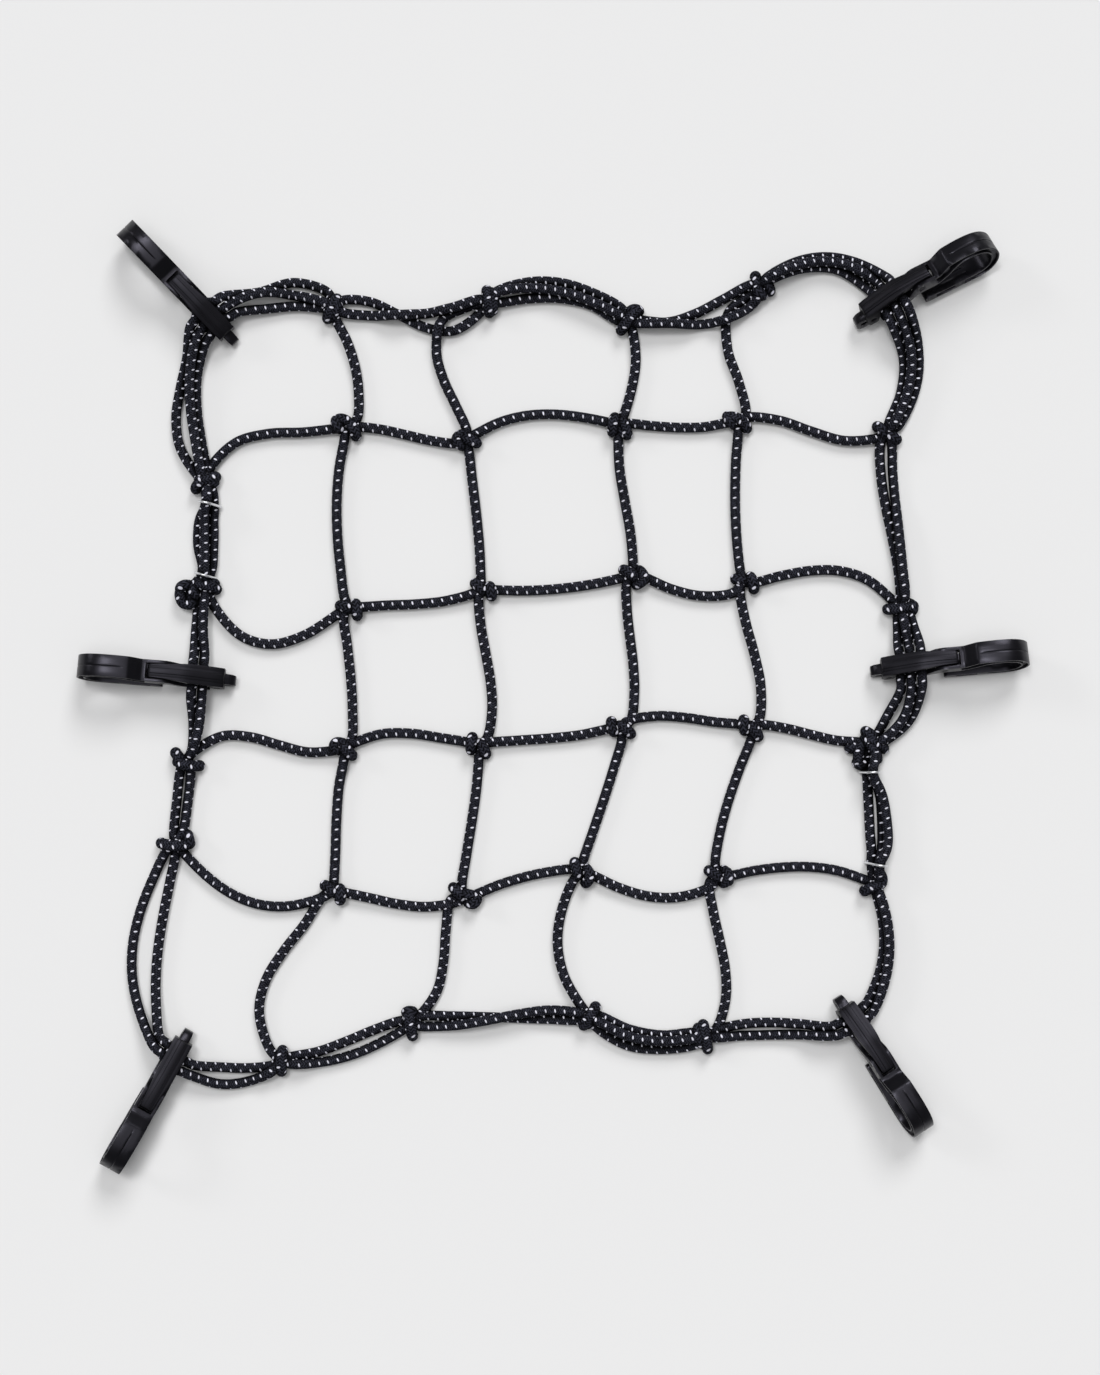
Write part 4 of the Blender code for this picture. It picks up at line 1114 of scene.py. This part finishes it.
def makeClaw():  # in one with its neck and arm
    half = hookFrame["width"] / 2
    claw = sweepRings("hookBody", smoothRows(bodyRings, hookLook["ringSpacing"]), hookFrame["width"])
    cuts = (hookLook["partingHalf"], *hookLook["ribs"])
    for v in (0, *cuts, *(-cut for cut in cuts)):
        slicePiece((0, v, 0), (0, 1, 0))

    backEnd, backFoot = hookLook["partingTo"]
    middle = Vector(hookLook["clawMiddle"])
    pickPoints(claw, lambda at, normal: abs(at.y) < onPlane and at.x < backEnd and at.z > backFoot
               and normal.dot(at - middle) > 0)
    bpy.ops.transform.shrink_fatten(value=-hookLook["partingDepth"] * mm)

    ribFrom, ribTo = hookLook["ribs"]
    ribStart, ribEnd = hookLook["ribEnds"]
    bridgeStart, bridgeEnd = hookLook["bridge"]
    for side in (-1, 1):
        pickFaces(claw, lambda at, normal: normal.z > square and at.z < hookLook["lowerArmTop"]
                  and ribStart < at.x < ribEnd and ribFrom < at.y * side < ribTo)
        bpy.ops.mesh.inset(thickness=hookLook["ribSlope"] * mm, depth=hookLook["ribRise"] * mm)
        pickFaces(claw, lambda at, normal: at.y * side > half - onPlane and at.x < hookLook["recessEnd"]
                  and not (at.z < hookLook["lowerArmTop"] and bridgeStart < at.x < bridgeEnd))
        bpy.ops.mesh.inset(thickness=hookLook["rim"] * mm)
        narrower, deeper = hookLook["web"]
        bpy.ops.mesh.inset(thickness=narrower * mm, depth=-deeper * mm)
    closeUp()
    return claw


def makeSlotCutter():
    low, high, slotHalf = hookLook["slot"]
    bottom, top = hookLook["slotHeights"]
    bpy.ops.mesh.primitive_cube_add(size=mm, location=toMetres((low + high) / 2, 0, (bottom + top) / 2))
    cutter = bpy.context.object
    bpy.ops.object.mode_set(mode="EDIT")
    bpy.ops.transform.resize(value=(high - low, 2 * slotHalf, top - bottom))
    bpy.ops.object.mode_set(mode="OBJECT")
    return cutter


def makeHookBody():
    selectNone()
    body = makeClaw()
    tab = sweepLevels("tab", tabLevels)
    closeUp()
    mergeWith(body, tab, "UNION")
    mergeWith(body, makeSlotCutter(), "DIFFERENCE")
    half, pin = hookFrame["width"] / 2, hookLook["pinRadius"]
    hole = makeRound(*hookFrame["hinge"], pin, pin, -half - beyond, half + beyond)
    mergeWith(body, hole, "DIFFERENCE")
    mergeWith(body, makeRound(*hookLook["tabSlot"], -half, half), "DIFFERENCE")
    roundEdges(body, hookLook["rounding"])
    return body


def makeLever():
    selectNone()
    head, plate = leverLevels[:2], leverLevels[2:]
    lever = sweepLevels("lever", [*head, *smoothRows(plate, hookLook["ringSpacing"])])
    cuts = (leverLook["bandHalf"], leverLook["ridgeHalf"], leverLook["cheekInside"])
    for v in (*cuts, *(-cut for cut in cuts)):
        slicePiece((0, v, 0), (0, 1, 0))
    slicePiece((leverLook["cheekFrom"], 0, 0), (1, 0, 0))

    pickFaces(lever, lambda at, normal: normal.z > facing and abs(at.y) < leverLook["bandHalf"])
    rise = {"value": toMetres(0, 0, leverLook["bandRise"])}
    bpy.ops.mesh.extrude_region_move(TRANSFORM_OT_translate=rise)
    pickFaces(lever, lambda at, normal: normal.z > facing and abs(at.y) < leverLook["ridgeHalf"])
    bpy.ops.mesh.inset(thickness=leverLook["ridgeSlope"] * mm, depth=leverLook["ridgeRise"] * mm)

    footU, footW = leverLook["cheekFoot"]
    for side in (-1, 1):
        pickFaces(lever, lambda at, normal: normal.z < -facing and at.x > leverLook["cheekFrom"]
                  and at.y * side > leverLook["cheekInside"])
        for drop in leverLook["cheekDrops"]:
            bpy.ops.mesh.extrude_region_move(TRANSFORM_OT_translate={"value": toMetres(0, 0, -drop)})
        foot = toMetres(footU, 0, footW)
        bpy.ops.transform.resize(value=leverLook["cheekNarrow"], center_override=foot)
    closeUp()

    half, pin = hookFrame["width"] / 2, hookLook["pinRadius"] - leverLook["pinPlay"]
    pinHalf = half - leverLook["pinShort"]
    mergeWith(lever, makeRound(*hookFrame["hinge"], pin, pin, -pinHalf, pinHalf), "UNION")
    for side in (-1, 1):
        pocketFloor = leverLevels[-1].half - leverLook["pocketDepth"]
        across = sorted((side * pocketFloor, side * (half + beyond)))
        mergeWith(lever, makeRound(*leverLook["pocket"], *across), "DIFFERENCE")
    roundEdges(lever, leverLook["rounding"])
    return lever


# Moulded nylon: soft highlights, glossy from a polished mould and duller from an etched one.
Nylon = namedtuple("Nylon", "name colour roughness gloss")
hookNylon = Nylon("polishedNylon", "#0a0a0c", 0.3, 0.28)
leverNylon = Nylon("etchedNylon", "#0b0b0d", 0.4, 0.21)
nylonShine = "#edeaff"


def makeNylon(nylon):
    material, shader = newMaterial(nylon.name)
    shader.inputs["Base Color"].default_value = linear(nylon.colour)
    shader.inputs["Roughness"].default_value = nylon.roughness
    shader.inputs["Specular IOR Level"].default_value = nylon.gloss
    shader.inputs["Specular Tint"].default_value = linear(nylonShine)
    return material


def makeHooks():
    body, lever = makeHookBody(), makeLever()
    body.data.materials.append(makeNylon(hookNylon))
    lever.data.materials.append(makeNylon(leverNylon))
    for name, hook in hooks.items():
        matrix = hookMatrix(hook)
        matrix.translation *= mm
        for model, pieceName, node, onBody, slotName in (
            (body, "snapHook_", "hook_", netBody, "moulded_nylon"),
            (lever, "snapLever_", "lever_", "latch_" + name, "lever_nylon"),
        ):
            piece = bpy.data.objects.new(pieceName + name, model.data.copy())
            piece.data.transform(matrix)
            bpy.context.scene.collection.objects.link(piece)
            placePiece(piece, onBody, slotName, node + name)
    bpy.data.objects.remove(body)
    bpy.data.objects.remove(lever)
    say("hooks and levers")


# wire clips: staples bent round the border cords

wireLook = {
    "radius": 0.6,
    "sides": 12,
    "gap": 0.1,
    "span": 1.2,  # half the length of cord that a wire is bent round
    "belowSide": 36.0,  # degrees that its ends reach round under the cords
    "steps": 36,
    "smoothTo": 50,  # degrees
    "colour": "#e2e3e6",
    "roughness": 0.4,
}


def makeZinc():
    # Bright zinc plated steel wire: a cool silver, a little dulled.
    material, shader = newMaterial("zincPlatedWire")
    shader.inputs["Base Color"].default_value = linear(wireLook["colour"])
    shader.inputs["Metallic"].default_value = 1.0
    shader.inputs["Roughness"].default_value = wireLook["roughness"]
    return material


def lineRound(spots, reach):  # close round the cords' middles, from one side over the top to the other
    line = []
    whole = 180 + 2 * wireLook["belowSide"]
    for step in range(wireLook["steps"] + 1):
        angle = math.radians(180 + wireLook["belowSide"] - whole * step / wireLook["steps"])
        out = Vector((math.cos(angle), math.sin(angle)))
        line.append(max(spots, key=out.dot) + out * reach)
    return line


def sweepWire(name, line):  # a disc is extruded along a line in u and w, turned at each point
    sides, radius = wireLook["sides"], wireLook["radius"] * mm
    bpy.ops.mesh.primitive_circle_add(vertices=sides, radius=radius, fill_type="NGON")
    piece = bpy.context.object
    piece.name = name
    bpy.ops.object.mode_set(mode="EDIT")
    lastPoint, lastAngle = Vector((0, 0, 0)), math.pi / 2
    for number, point in enumerate(line):
        before, after = line[max(number - 1, 0)], line[min(number + 1, len(line) - 1)]
        angle = math.atan2(after.y - before.y, after.x - before.x)
        here = Vector(toMetres(point.x, 0, point.y))
        carryFace(number, here - lastPoint)
        turnFace(lastAngle, angle, here)
        lastPoint, lastAngle = here, angle
    closeUp()
    bpy.ops.object.shade_smooth_by_angle(angle=math.radians(wireLook["smoothTo"]))
    return piece


def makeClips(finePaths):
    zinc = makeZinc()
    for name, clip in clips.items():
        middle, ahead, left = clipFrame(clip)
        spots = []
        for path in finePaths[clip.start, clip.end]:
            for point in path:
                off = point.xy - middle
                if abs(off.dot(ahead)) < wireLook["span"]:
                    spots.append(Vector((off.dot(left), point.z)))
        line = lineRound(spots, cord["radius"] + wireLook["gap"] + wireLook["radius"])
        selectNone()
        piece = sweepWire("wireClip_" + name, line)
        piece.data.transform(Matrix((
            (left.x, -ahead.x, 0, middle.x * mm),
            (left.y, -ahead.y, 0, middle.y * mm),
            (0, 0, 1, 0),
            (0, 0, 0, 1),
        )))
        piece.data.materials.append(zinc)
        placePiece(piece, netBody, "zinc_wire", "clip_" + name)
    say("wire clips")


makeStudio()
finePaths = makeNet(makeBraid())
makeHooks()
makeClips(finePaths)
